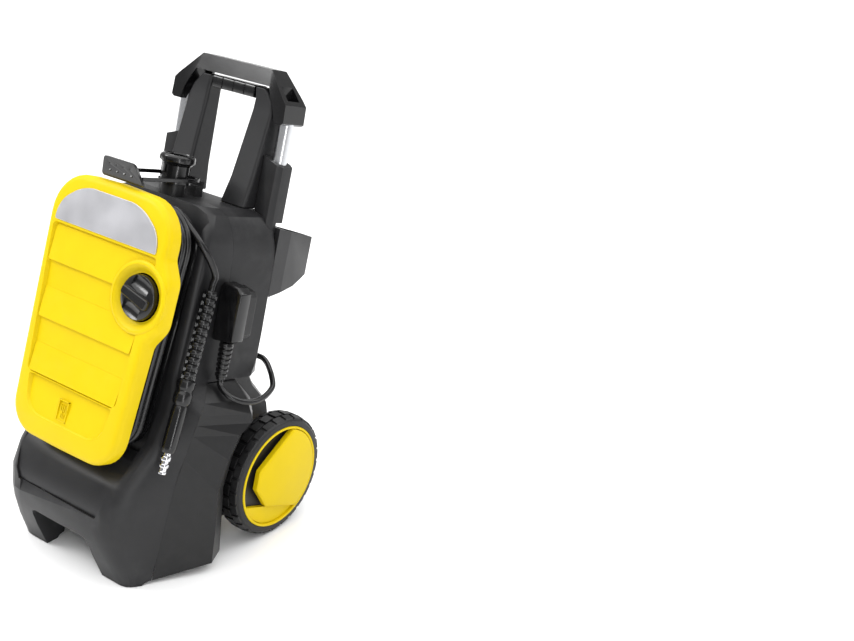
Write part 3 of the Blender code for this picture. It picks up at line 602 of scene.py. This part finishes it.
rows = [-27.5 - HOSE_PITCH * i for i in range(4)]
outer, middle, core = HOSE_LAYERS
places = [(core, rows[2]), (core, rows[3])]
places += [(middle, r) for r in reversed(rows)] + [(outer, r) for r in rows]
on_drum = wound(hose_loop, places, HOSE_TURNS, 0.42, 0.58)
on_drum = [MACHINE.inverted() @ FACE @ p for p in on_drum]
to_sleeve = [(104, -184, 322), (111, -171, 303), SLEEVE_TOP - SLEEVE_AXIS * 20,
             SLEEVE_TOP - SLEEVE_AXIS * 9, SLEEVE_TOP + SLEEVE_AXIS * 1]
end = flowing(on_drum[-6::5] + to_sleeve, 4.0)
hose_line = [MACHINE @ p for p in evened(on_drum[:-6] + end, LINE_STEP)]
hose = cord_curve("pressure_hose", hose_line, HOSE_R, "hose_black", "housing")
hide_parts("hose_winding", "hose_tail")
print("hose:", round(length_of(hose_line), 2), "m in", round(HOSE_TURNS, 1), "turns")

# %% [markdown]
# ## The hose end
# A bend protector with cut ribs grips the hose, then a swelling collar, a smooth
# grip and a plated plug with two grooves. All of them are turned shapes on one
# axis. The ribs of the protector are bridged on alternate sides, which is what
# lets the real one bend, so the bridges are small blocks and not a bump map.

# %% Sleeve, collar, grip and tip
RIBS = 12
RIB_STEP = 9.6
ONE_RIB = [(9.0, 0.8), (9.4, 1.8), (9.4, 4.8), (9.0, 5.8), (6.6, 6.4), (6.6, 8.9)]
sleeve_place = aim(SLEEVE_TOP, SLEEVE_AXIS)
ribs = [(5.2, 0), (7.4, 0)]
for n in range(RIBS):
    ribs += [(r, n * RIB_STEP + h) for r, h in ONE_RIB]
ribs += [(7.2, 115.6), (5.2, 115.6)]
sleeve = turned(ribs, 40, ring=True)
bridges = []
for n in range(RIBS):
    bridge = block(-3, 3, 5.5, 9.2, n * RIB_STEP + 5.4, n * RIB_STEP + 10.4)
    half = math.pi * (n % 2) + math.radians(60)
    bmesh.ops.rotate(bridge, verts=bridge.verts, matrix=Matrix.Rotation(half, 3, "Z"))
    other = bridge.copy()
    bmesh.ops.rotate(other, verts=other.verts, matrix=Matrix.Rotation(math.pi, 3, "Z"))
    bridges += [bridge, other]
sleeve = piece("hose_bend_protector", joined(sleeve, *bridges), sleeve_place, "housing", "hose_black",
               ["hose_sleeve"])
collar = turned([(5, 116.3), (9.6, 116.3), (11.6, 118), (12, 120), (12, 126), (11.4, 128), (10.4, 130),
                 (10.4, 132), (11.6, 134), (12, 136), (12, 144), (11, 147.5), (9, 150), (5, 150)],
                48, ring=True)
collar = piece("hose_collar_ring", collar, sleeve_place, "housing", "hose_black", ["hose_collar"])
grip = turned([(4, 150.3), (9.0, 150.3), (9.6, 153), (10, 157), (10.1, 180), (9.8, 204), (9.2, 209), (8, 212),
               (4, 212)], 48, ring=True)
grip = piece("hose_end_grip", grip, sleeve_place, "housing", "trim_black", ["hose_grip"])
tip = turned([(3, 212.3), (5, 212.3), (5, 216), (6.2, 216.6), (6.6, 217.6), (6.6, 221.4), (6.2, 222.4),
              (4.6, 223), (4.6, 226), (5.8, 226.6), (6.2, 227.4), (6.2, 230.6), (5.8, 231.4),
              (4.6, 232), (4.6, 236), (5.2, 236.8), (5.4, 238), (5, 240), (3, 240)], 48, ring=True)
tip = piece("hose_plug_tip", tip, sleeve_place, "housing", "chrome", ["hose_tip"])

# %% [markdown]
# ## The mains cord
# The cord leaves the gland low on the back. Of its five metres, four and a half
# are drawn: most of it hangs as a hank on the two hooks there, and the end swings
# round the side to the plug's holder.
# The hank is twelve long loops, four wide and three deep, with half-round ends:
# that is how a cord lies when it is wound over two hooks.

# %% Wind the mains cord
CORD_PITCH = 8.2
HANK_TURNS = 11.72
HANK_DEPTHS = (-29.4, -21.1, -12.8)
GLAND = (60, -22.6, 172)


def hank_loop(inset):
    loop = rounded_loop(-56 + inset, 50 - inset, 158 + inset, 340 - inset, 52.9 - inset, 52.9 - inset)[::-1]
    side = Vector((50 - inset, 232, 0))
    start = min(range(len(loop)), key=lambda i: (loop[i] - side).length)
    return loop[start:] + loop[:start]


insets = [4.1 + CORD_PITCH * i for i in range(4)]
places = []
for layer, depth in enumerate(HANK_DEPTHS):
    places += [(i, depth) for i in (reversed(insets) if layer == 1 else insets)]
hank = [Vector((p.x, p.z, p.y)) for p in wound(hank_loop, places, HANK_TURNS, 0.66, 0.8)]
into_hank = [GLAND, (60, -12, 172), (60, -2, 178), (54, -3, 192), (49, -14, 208), (46.5, -25, 221)]
to_plug = [(22, -5, 183), (38, -2, 172), (54, -5, 160), (70, -10, 155), (86, -14, 156), (100, -18, 157),
           (113, -24, 155), (127, -33, 151), (141, -43, 146), (154, -54, 137), (161, -74, 129),
           (164, -95, 125), (160, -115, 125), (150, -131, 130), (137, -134.5, 136.5),
           (129, -133, 141.5), (128, -132.5, 146)]
start = flowing(into_hank + hank[2:8:5], 4.0)
end = flowing(hank[-7::6] + to_plug, 4.0)
cord_line = [MACHINE @ p for p in evened(start + hank[8:-7] + end, LINE_STEP)]
cord = cord_curve("mains_cord", cord_line, CORD_R, "hose_black", "housing")
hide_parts("cord_hank", "cord_loop")
print("mains cord:", round(length_of(cord_line), 2), "m")

# %% [markdown]
# ## Plug, its relief and the gland
# The plug rests in a holder on the side, with its cord leaving downwards through
# a ribbed relief.

# %% Plug and relief
plug = refined("mains_plug", 1.6)
refined("plug_holder", 1.2)
relief = [(4.2, 2.2), (8.6, 2.2)]
for n in range(7):
    h = 4.0 + n * 6.6
    w = 9.4 - n * 0.25
    relief += [(w - 0.4, h), (w, h + 0.6), (w, h + 3.2), (w - 0.4, h + 3.8), (6.2, h + 4.1), (6.2, h + 6.2)]
relief += [(5.4, 52.4), (4.2, 52.4)]
relief = piece("plug_cord_relief", turned(relief, 40, ring=True), aim((128, -132.5, 200), (0, 0, -1)),
               "housing", "trim_black", ["plug_relief"])
gland = turned([(4.2, 0.6), (8, 0.6), (8, 4), (6.6, 5), (6.4, 8), (5.6, 12.2), (4.2, 12.2)], 40, ring=True)
gland = piece("cord_gland_sleeve", gland, aim((60, -35, 172), (0, 1, 0)), "housing", "trim_black",
              ["cord_gland"])

# %% [markdown]
# ## The yellow hose cover
# The cover is a rounded shield with a bulge round the knob, a rolled rim and a
# hollow back. A flat outline is raised into a plate, and its top is inset and
# lifted a few times, each time less steeply, which gives the rolled rim. A
# subdivision surface could roll it too, but it would soften the bulge as well.

# %% Cover shield
ROLLED_RIM = [(0.5, 2.4), (1.2, 2.2), (2.0, 1.8), (2.6, 1.1), (2.6, 0.5)]
SKIRT_BACK, SKIRT_TOP = -21, -8
SKIRT_WALL = 4


def cover_corners(inset=0.0):
    i = inset
    return [(-109 + i, 374 - i, 56 - i), (0, 377.5 - i, 0), (109 - i, 374 - i, 54 - i),
            (107.8 - i, 308, 16), (123 - i, 282, 24), (123 - i, 222, 24), (105.3 - i, 196, 16),
            (97 - i, 27 + i, 44 - i), (0, 25.5 + i, 0), (-97 + i, 27 + i, 44 - i)]


cover = plate(cover_corners(), SKIRT_BACK, SKIRT_TOP, ROLLED_RIM)
cover = carved(cover, plate(cover_corners(SKIRT_WALL), SKIRT_BACK - 9, SKIRT_TOP + 1))
print("shield faces:", len(cover.faces))

# %% [markdown]
# ## Panel, louvre steps and scoop
# The face is sunk in a tapering panel that holds three louvre steps, each one
# rising towards its lower edge, and it ends in a scoop that comes up to the rim.
# Each is a tool of its own, joined or cut in turn, so that one of them can be
# moved without redrawing the others.

# %% Panel, steps and scoop
PANEL_LOW, PANEL_TOP = 108, 305
PANEL_MIDDLE = 206
PANEL_DEPTH = 5.0
STEPS = ((303, 256), (221, 181), (147, 109))
STEP_FOOT, STEP_START, STEP_EDGE = -6.3, -4.6, -0.5
SCOOP_TOP, SCOOP_DEPTH, SCOOP_RISE = 104, 5.4, 0.085


def step_half_width(v):
    """The steps narrow downwards with the panel."""
    return 92.4 - (PANEL_TOP - v) * 0.061


panel = plate([(-81, PANEL_LOW, 10), (81, PANEL_LOW, 10), (93, PANEL_TOP, 6), (-93, PANEL_TOP, 6)],
              -PANEL_DEPTH, 6)
bmesh.ops.scale(panel, verts=[v for v in panel.verts if v.co.z > 0], vec=(1.05, 1.02, 1),
                space=Matrix.Translation((0, -PANEL_MIDDLE, 0)))
cover = carved(cover, panel)
for top, low in STEPS:
    wide, narrow = step_half_width(top), step_half_width(low)
    step = plate([(-narrow, low, 2), (narrow, low, 2), (wide, top, 0), (-wide, top, 0)],
                 STEP_FOOT, STEP_EDGE, segments=3)
    for v in step.verts:
        if v.co.z > -1 and v.co.y > low + 20:
            v.co.z = STEP_START
    cover = carved(cover, step, "UNION")
scoop = plate([(-81, 106.5, 4), (-72, 50, 30), (72, 50, 30), (81, 106.5, 4)], -3.4, 6)
for v in scoop.verts:
    if v.co.z < 0:
        v.co.x *= 0.93
        v.co.y = SCOOP_TOP + (v.co.y - SCOOP_TOP) * 0.86
        v.co.z = (SCOOP_TOP - v.co.y) * SCOOP_RISE - SCOOP_DEPTH
cover = carved(cover, scoop)
print("steps:", len(STEPS), "scoop", SCOOP_DEPTH, "deep")

# %% [markdown]
# ## The knob's ring
# The knob sits in a dished ring that stands a little proud of the panel. The ring
# is joined on as a turned shape and the dish is carved out of it. The piece's
# last edges are rounded by a modifier.

# %% Knob ring
RING_R, DISH_R = 46.5, 42.5
ring = turned([(0, -8), (RING_R, -8), (RING_R, -0.6), (45.6, 0.6), (44, 1.4), (42, 1.7), (0, 1.7)], 72)
bmesh.ops.translate(ring, verts=ring.verts, vec=(KNOB_U, KNOB_V, 0))
cover = carved(cover, ring, "UNION")
dish = turned([(0, 6), (DISH_R, 6), (41.4, 1.4), (39.5, 0.4), (37.6, -1.2), (34.2, -4.8), (32.6, -5.8),
               (30.6, -6), (30.6, -32), (0, -32)], 72)
bmesh.ops.translate(dish, verts=dish.verts, vec=(KNOB_U, KNOB_V, 0))
cover = carved(cover, dish)
cover = piece("hose_cover_shell", cover, FACE, "housing", "signal_yellow", ["hose_cover"], sharp=30)
rounded(cover, 0.7, 2, 38)
print("ring radius", RING_R, "dish", DISH_R)

# %% [markdown]
# ## A small moulded sign
# Low in the scoop a little frame with bars stands for a washing sign.

# %% Sign
SIGN_LOW, SIGN_HIGH = -4.0, -1.2
sign = [(-14, -12.8, 62, 90), (2.8, 4, 62, 90), (-14, 4, 62, 63.2), (-14, 4, 88.8, 90)]
sign += [(-9 + 3.2 * n, -7.8 + 3.2 * n, 76 - n % 2 * 2, 84) for n in range(4)]
sign += [(-7 + 2.6 * n, -5.9 + 2.6 * n, 67, 72) for n in range(3)]
bars = [block(*bar, SIGN_LOW, SIGN_HIGH) for bar in sign]
piece("cover_spray_sign", joined(*bars), FACE @ Matrix.Translation((0, 0, 0.3)), "housing", "signal_yellow")
print("sign bars:", len(bars))

# %% [markdown]
# ## Brushed plate
# The plate under the top rim is thin metal with a straight lower edge and an
# arched top. The real one carries a name; this one is left plain.

# %% Plate
badge = plate([(-92, 309.5, 3), (92, 309.5, 3), (90, 334, 34), (52, 361.5, 60), (-52, 361.5, 60),
               (-90, 334, 34)], 0.25, 1.5, [(0.35, 0.3)], segments=14)
piece("cover_badge_plate", badge, FACE, "housing", "brushed_silver", ["trim_plate"])
print("plate ready")

# %% [markdown]
# ## The switch knob
# The knob is a glossy drum with a raised bar whose flanks are scooped, so that
# finger and thumb can turn it. The scoops are cut before the bar is joined on,
# so that the bar keeps its straight sides.

# %% Knob
BAR_LOW, BAR_TOP = 0.0, 6.4
BAR_RIM = [(0.5, 0.9), (0.9, 0.6)]
SCOOP_OUT, SCOOP_UP = 18.5, 13.4
knob = turned([(0, -5.5), (29, -5.5), (29, -1.4), (28.6, 0.2), (27.4, 1.6), (25.5, 2.6), (22, 3.2),
               (0, 3.6)], 72)
knob = carved(knob, turned([(0, -22), (4.5, -22), (4.5, -4), (0, -4)], 24), "UNION")
for side in (-1, 1):
    flank = turned([(0, -15), (13.5, -15), (15, 0), (13.5, 15), (0, 15)], 40)
    bmesh.ops.rotate(flank, verts=flank.verts, matrix=Matrix.Rotation(math.radians(90), 3, "Y"))
    bmesh.ops.translate(flank, verts=flank.verts, vec=(0, side * SCOOP_OUT, SCOOP_UP))
    knob = carved(knob, flank)
bar = plate([(-25, -6, 4), (25, -7.5, 4), (25, 7.5, 4), (-25, 6, 4)], BAR_LOW, BAR_TOP, BAR_RIM,
            segments=6, taper=0.94)
knob = carved(knob, bar, "UNION")
knob_place = FACE @ Matrix.Translation((KNOB_U, KNOB_V, 0)) @ Matrix.Rotation(math.radians(-14), 4, "Z")
knob = piece("switch_knob_drum", knob, knob_place, "knob", "trim_black", ["switch_knob"], sharp=30)
rounded(knob, 0.6, 2, 35)
print("knob standing", BAR_TOP + sum(rise for inset, rise in BAR_RIM), "drawn mm off the face")

# %% [markdown]
# ## Housing mouldings
# The grey shells, side panels, pockets, sockets and frame arms already have their
# shape in the frame. Each gets a merged copy with its edges rounded, because a
# real moulding has no sharp edge, and it is those rounded edges that catch the
# light and make plastic look like plastic.

# %% Shells, pockets, sockets and arms
EDGES = {"front_shell": 1.6, "rear_shell": 2.2}
for node, width in (("side_panel", 1.6), ("lance_holder", 1.2), ("tube_socket", 2.0), ("frame_arm", 3.0)):
    EDGES[node + "_right"] = width
    EDGES[node + "_left"] = width
EDGES |= {"frame_grip": 1.6, "handle_grip": 2.6}
for node, width in EDGES.items():
    refined(node, width)
print("housing mouldings:", len(EDGES))

# %% [markdown]
# ## Handle tubes
# Drawn aluminium tubes, turned smooth, with the fine lines of the finish as a
# bump, and the screw that holds the grip on its right shoulder.

# %% Tubes
TUBE_R, TUBE_BORE = 9.8, 8.3
TUBE_LOW, TUBE_TOP = 152, 498.7
for side, name in ((1, "right"), (-1, "left")):
    tube = turned([(TUBE_BORE, TUBE_LOW), (TUBE_R, TUBE_LOW), (TUBE_R, TUBE_TOP), (TUBE_BORE, TUBE_TOP)],
                  64, ring=True)
    place = MACHINE @ Matrix.Translation((side * TUBE_X, TUBE_Y, 0))
    piece("handle_tube_skin_" + name, tube, place, "pull_handle", "tube_aluminium", ["handle_tube_" + name])
screw = turned([(0, 504), (5.2, 504), (5.2, 506.4), (4.6, 507), (2.2, 507), (2.0, 505.6), (0, 505.6)], 32)
piece("handle_screw", screw, MACHINE @ Matrix.Translation((87.5, TUBE_Y, 0)), "pull_handle", "steel")
print("tubes", round(TUBE_R * 2 * SIZE * 1000, 1), "mm across")

# %% [markdown]
# ## Outlet and its locking collar
# The pressure outlet on top is a short black tower with a flange, bayonet slots
# in its side and a wider ring that turns to lock the coupling. The tower is
# turned and its slots are cut; the ring's grip tabs are small blocks set round it.

# %% Outlet
OUTLET = MACHINE @ Matrix.Translation((0, -143.6, 0))


def around(bm, degrees):
    """Turns a shape round Z and gives it back."""
    bmesh.ops.rotate(bm, verts=bm.verts, matrix=Matrix.Rotation(math.radians(degrees), 3, "Z"))
    return bm


pipe = turned([(12.3, 345), (16.5, 345), (16.5, 379.7), (12.3, 379.7)], 56, ring=True)
piece("outlet_pipe", pipe, OUTLET, "housing", "panel_grey", ["outlet_base"])
tower = turned([(13, 380), (21, 380), (21.5, 380.6), (21.5, 383.4), (21, 384), (18.8, 384.6), (18.5, 386),
                (18.5, 403.4), (17.9, 404), (13, 404)], 72, ring=True)
for degrees in (60, 180, 300):
    tower = carved(tower, around(block(-2.4, 2.4, 16.6, 22, 392, 403), degrees))
    tower = carved(tower, around(block(-2.4, 9.0, 16.6, 22, 389.5, 393), degrees))
rounded(piece("outlet_tower", tower, OUTLET, "housing", "trim_black", ["outlet_body"]), 0.4, 2)
lock_ring = turned([(12, 404.3), (19.4, 404.3), (20, 405), (20.4, 406.2), (22.6, 407.6), (23, 408.4),
                    (23, 414.2), (22.4, 415.4), (20.8, 416.6), (20, 417), (18.4, 417), (17.8, 415.6),
                    (15.2, 415.6), (14.6, 416.6), (12.6, 416.6), (12, 416)], 72, ring=True)
tabs = [around(block(-1.6, 1.6, 22, 23.8, 408.6, 414), 36 * n) for n in range(10)]
piece("outlet_lock_ring", joined(lock_ring, *tabs), OUTLET, "outlet_lock", "trim_black", ["outlet_collar"])
print("outlet tabs:", len(tabs))

# %% [markdown]
# ## Strap
# A rubber strap is hooked behind the outlet and holds the wound hose down with its
# stiff pull tab, which has four small studs.

# %% Strap
refined("strap_tab", 0.9)
refined("strap_band", 0.7)
TAB_TURN = Matrix.Rotation(math.radians(67), 4, "X")
studs = []
for across in (-19.2, -6.4, 6.4, 19.2):
    stud = turned([(0, 2), (1.5, 2), (1.5, 3.0), (1.0, 3.4), (0, 3.4)], 20)
    bmesh.ops.transform(stud, matrix=Matrix.Translation((across, -236.2, 388)) @ TAB_TURN, verts=stud.verts)
    studs.append(stud)
piece("strap_studs", joined(*studs), MACHINE, "strap", "trim_black")
print("studs:", len(studs))

# %% [markdown]
# ## Water inlet and detergent port
# Both are on the left side: a boss with a knurled union nut and a stepped hose
# nipple, and above it a port with a pale push-in plug.

# %% Water inlet
INLET = aim((-108, -113, 200), (-1, 0, 0))
KNURLS = 18
boss = turned([(6, -6), (8.6, -6), (8.6, 6), (14.4, 6), (15, 6.6), (15, 29), (14.4, 30), (6, 30)],
              56, ring=True)
piece("inlet_boss_skin", boss, INLET, "housing", "trim_black", ["inlet_boss"])
nut = turned([(9, 31), (16.4, 31), (17, 31.6), (18, 34), (18, 46), (16, 49.4), (15.4, 50), (9, 50)],
             56, ring=True)
knurls = [around(block(-1.2, 1.2, 17.4, 18.6, 34.5, 45.5), 360 / KNURLS * n) for n in range(KNURLS)]
piece("inlet_nut_skin", joined(nut, *knurls), INLET, "inlet_coupling", "trim_black", ["inlet_nut"])
nipple = [(4, 30.3), (8.4, 30.3), (8.4, 52), (10.4, 52.4), (11, 53), (11, 57.4), (10.4, 58), (7, 59), (7, 66),
          (8.6, 66.8), (8.4, 68), (7, 74), (8.6, 74.8), (8.4, 76), (7, 82), (7.8, 82.8), (7.6, 84), (6.8, 87),
          (4, 87)]
piece("inlet_hose_nipple", turned(nipple, 48, ring=True), INLET, "housing", "trim_black", ["inlet_nipple"])
print("nut knurls:", len(knurls))

# %% Detergent port
PORT = aim((-108, -112, 272), (-1, 0, 0))
port = turned([(4.8, -6), (5.7, -6), (5.7, 6), (11, 6), (11.5, 6.6), (11.5, 23.2), (10.8, 24), (4.8, 24)],
              48, ring=True)
piece("detergent_port", port, PORT, "housing", "trim_black", ["detergent_boss"])
cap = turned([(0, 12), (4.4, 12), (4.4, 24.3), (8.6, 24.3), (9.5, 26), (9.5, 36), (8.8, 38), (7.5, 39),
              (0, 39.2)], 48)
piece("detergent_plug_cap", cap, PORT, "detergent_plug", "cap_white", ["detergent_cap"])
print("port ready")

# %% [markdown]
# ## Wheels
# Each wheel is a blown plastic tyre with lugs over its shoulder, a thin yellow
# ring, a dark dish and a raised yellow plate that is a disc with four straight
# cuts. The cuts are made on a real disc, so the plate's round side follows the
# ring exactly. A wheel is drawn in its own frame, with its third direction along
# the axle and outwards, and its left twin is the mirror image.

# %% Wheel shapes
OUT = 160.3                    # outer face of the tyre, from the machine's middle
IN = 121.0
TYRE_R = 88.5
RIM_R = 74.4
LUGS = 28
TREAD_R = TYRE_R - 2.2         # the tyre between its lugs
SHOULDER = 2.2                 # how far the side lugs fall away at their ends


def lug(half_width, inner_r, outer_r, z0, z1, end=None):
    """A block of tread. Its end at height end, if given, falls away like the shoulder."""
    bm = block(-half_width, half_width, inner_r, outer_r, z0, z1)
    if end is not None:
        falling = [v for v in bm.verts if abs(v.co.z - end) < 0.1 and v.co.y > TREAD_R]
        bmesh.ops.translate(bm, verts=falling, vec=(0, -SHOULDER, 0))
    return bm


def tyre_shape():
    low = TREAD_R
    body = turned([(RIM_R + 0.3, IN + 2), (low - 6, IN), (low - 2, IN + 2), (low - 0.6, IN + 6),
                   (low, OUT - 20), (low - 0.6, OUT - 7), (low - 2, OUT - 3.4), (low - 4.6, OUT - 1),
                   (RIM_R + 1, OUT), (RIM_R + 0.3, OUT - 0.6)], 96, ring=True)
    lugs = []
    for n in range(LUGS):
        angle = 360 * n / LUGS
        lugs.append(around(lug(7.4, low - 2, TYRE_R - 0.1, IN + 12, OUT - 14), angle + 180 / LUGS))
        lugs.append(around(lug(7.4, low - 5.4, TYRE_R - 0.4, OUT - 12.4, OUT - 3.0, OUT - 3.0), angle))
        lugs.append(around(lug(7.4, low - 5.4, TYRE_R - 0.4, IN + 3, IN + 10.4, IN + 3), angle))
    return joined(body, *lugs)


def disc(radius, low, high, cuts, rim=()):
    """A disc trimmed by straight cuts, each a point and the direction to throw away."""
    bm = bmesh.new()
    bmesh.ops.create_circle(bm, cap_ends=True, segments=96, radius=radius)
    for at, away in cuts:
        bmesh.ops.bisect_plane(bm, geom=bm.verts[:] + bm.edges[:] + bm.faces[:], dist=0.001,
                               plane_co=(*at, 0), plane_no=(*away, 0), clear_outer=True)
    bmesh.ops.dissolve_limit(bm, angle_limit=0.001, verts=bm.verts, edges=bm.edges)
    return raised(bm, low, high, rim)


# %% Both wheels
# the yellow plate's corners, as seen from the machine's right
PLATE_CORNERS = [(8, 68), (-47, 15), (-47, -12), (-20, -41), (33, -50)]
PLATE_RIM = [(1.6, 1.4), (1.6, 0.6)]
plate_cuts = []
for a, b in zip(PLATE_CORNERS, PLATE_CORNERS[1:]):
    along = Vector(b) - Vector(a)
    plate_cuts.append((a, (along.y, -along.x)))
SHELF_CUT = [((33, -50), (12, 91))]
RING_PROFILE = [(RIM_R, IN + 4), (RIM_R, OUT), (RIM_R - 0.6, OUT + 0.8), (RIM_R - 1.6, OUT + 1.1),
                (RIM_R - 2.8, OUT + 0.9), (RIM_R - 3.5, OUT), (RIM_R - 3.7, OUT - 18), (16, OUT - 24),
                (10, OUT - 24), (10, IN + 2), (18, IN + 2), (RIM_R - 6, OUT - 28), (RIM_R - 6, IN + 4)]
DISH_PROFILE = [(RIM_R - 3.9, OUT - 17), (RIM_R - 3.9, OUT - 4), (RIM_R - 8, OUT - 8.5),
                (RIM_R - 20, OUT - 10), (9.5, OUT - 10), (9.5, OUT - 17)]


def wheel_piece(side, label, bm, slot, stands_for=(), edge=0.0):
    """Places a wheel shape. On the left it is mirrored, so its faces are turned round."""
    name = "right" if side > 0 else "left"
    lay = Matrix(((0, 0, side, 0), (1, 0, 0, AXLE_Y), (0, 1, 0, 0), (0, 0, 0, 1)))
    nodes = [node + "_" + name for node in stands_for]
    ob = piece(label + "_" + name, bm, MACHINE @ lay, "wheel_" + name, slot, nodes)
    if side < 0:
        ob.data.flip_normals()
    if edge:
        rounded(ob, edge, 2)


for side in (1, -1):
    wheel_piece(side, "wheel_tyre", tyre_shape(), "tyre_black", ["tyre"], 0.5)
    wheel_piece(side, "wheel_rim", turned(RING_PROFILE, 96, ring=True), "signal_yellow", ["rim"])
    wheel_piece(side, "wheel_dish", turned(DISH_PROFILE, 96, ring=True), "panel_grey", ["hub_inset"])
    raised_plate = disc(RIM_R - 4.3, OUT - 6.7, OUT + 0.6, plate_cuts, PLATE_RIM)
    wheel_piece(side, "wheel_plate", raised_plate, "signal_yellow", ["hub_plate"], 0.4)
    shelf = disc(RIM_R - 4.2, OUT - 12, OUT - 3.4, SHELF_CUT)
    wheel_piece(side, "wheel_shelf", shelf, "signal_yellow")
print("wheels", round(2 * TYRE_R * SIZE, 4), "m across")

# %% [markdown]
# ## Floor, backdrop and light
# A pale floor that runs out of sight under a wide soft ceiling, one softer light
# from the left, two narrow ones that draw lines along glossy edges, and an even
# pale surround. Small lamps would be brighter on the gloss, but their hard
# shadows would hide the steps in the cover.

# %% Floor
floor_disc = bmesh.new()
bmesh.ops.create_circle(floor_disc, cap_ends=True, segments=64, radius=14)
bmesh.ops.translate(floor_disc, verts=floor_disc.verts, vec=(0, 0, -0.0006))
floor = stand_in(floor_disc)
floor.name = floor.data.name = "studio_floor"
paper = bpy.data.materials.new("studio_paper")
paper.use_nodes = True
paper.node_tree.nodes["Principled BSDF"].inputs["Base Color"].default_value = (0.9, 0.9, 0.9, 1)
paper.node_tree.nodes["Principled BSDF"].inputs["Roughness"].default_value = 0.9
floor.data.materials.append(paper)
floor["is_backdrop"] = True
print("floor ready")

# %% Lights
MIDDLE = (0.0, 0.0, 0.3)


def soft_light(name, at, target, size, watts):
    lamp = bpy.data.lights.new(name, "AREA")
    lamp.shape = "RECTANGLE"
    lamp.size, lamp.size_y = size
    lamp.energy = watts
    ob = bpy.data.objects.new(name, lamp)
    bpy.context.scene.collection.objects.link(ob)
    ob.location = at
    ob.rotation_mode = "QUATERNION"
    ob.rotation_quaternion = (Vector(target) - Vector(at)).to_track_quat("-Z", "Y")


soft_light("ceiling", (-0.5, 0.5, 6.0), (-0.5, 0.5, 0.0), (14, 14), 1150)
soft_light("key", (-1.9, -1.5, 2.4), MIDDLE, (1.1, 1.1), 46)
soft_light("edge", (1.3, 1.7, 1.6), MIDDLE, (0.4, 1.6), 8)
soft_light("strip", (1.7, -1.1, 0.75), MIDDLE, (0.10, 1.5), 9)
world = bpy.data.worlds.new("surround")
bpy.context.scene.world = world
world.use_nodes = True
world.node_tree.nodes["Background"].inputs["Color"].default_value = (1, 1, 1, 1)
world.node_tree.nodes["Background"].inputs["Strength"].default_value = 0.42
bpy.context.scene.view_settings.view_transform = "Standard"
print("lights ready")

# %% [markdown]
# ## Sizes
# The box of what is shown is printed, so that a piece that has grown out of its place can be noticed.

# %% Print the shown box
low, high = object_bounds()
print("shown box:", [round(c, 4) for c in low], [round(c, 4) for c in high])
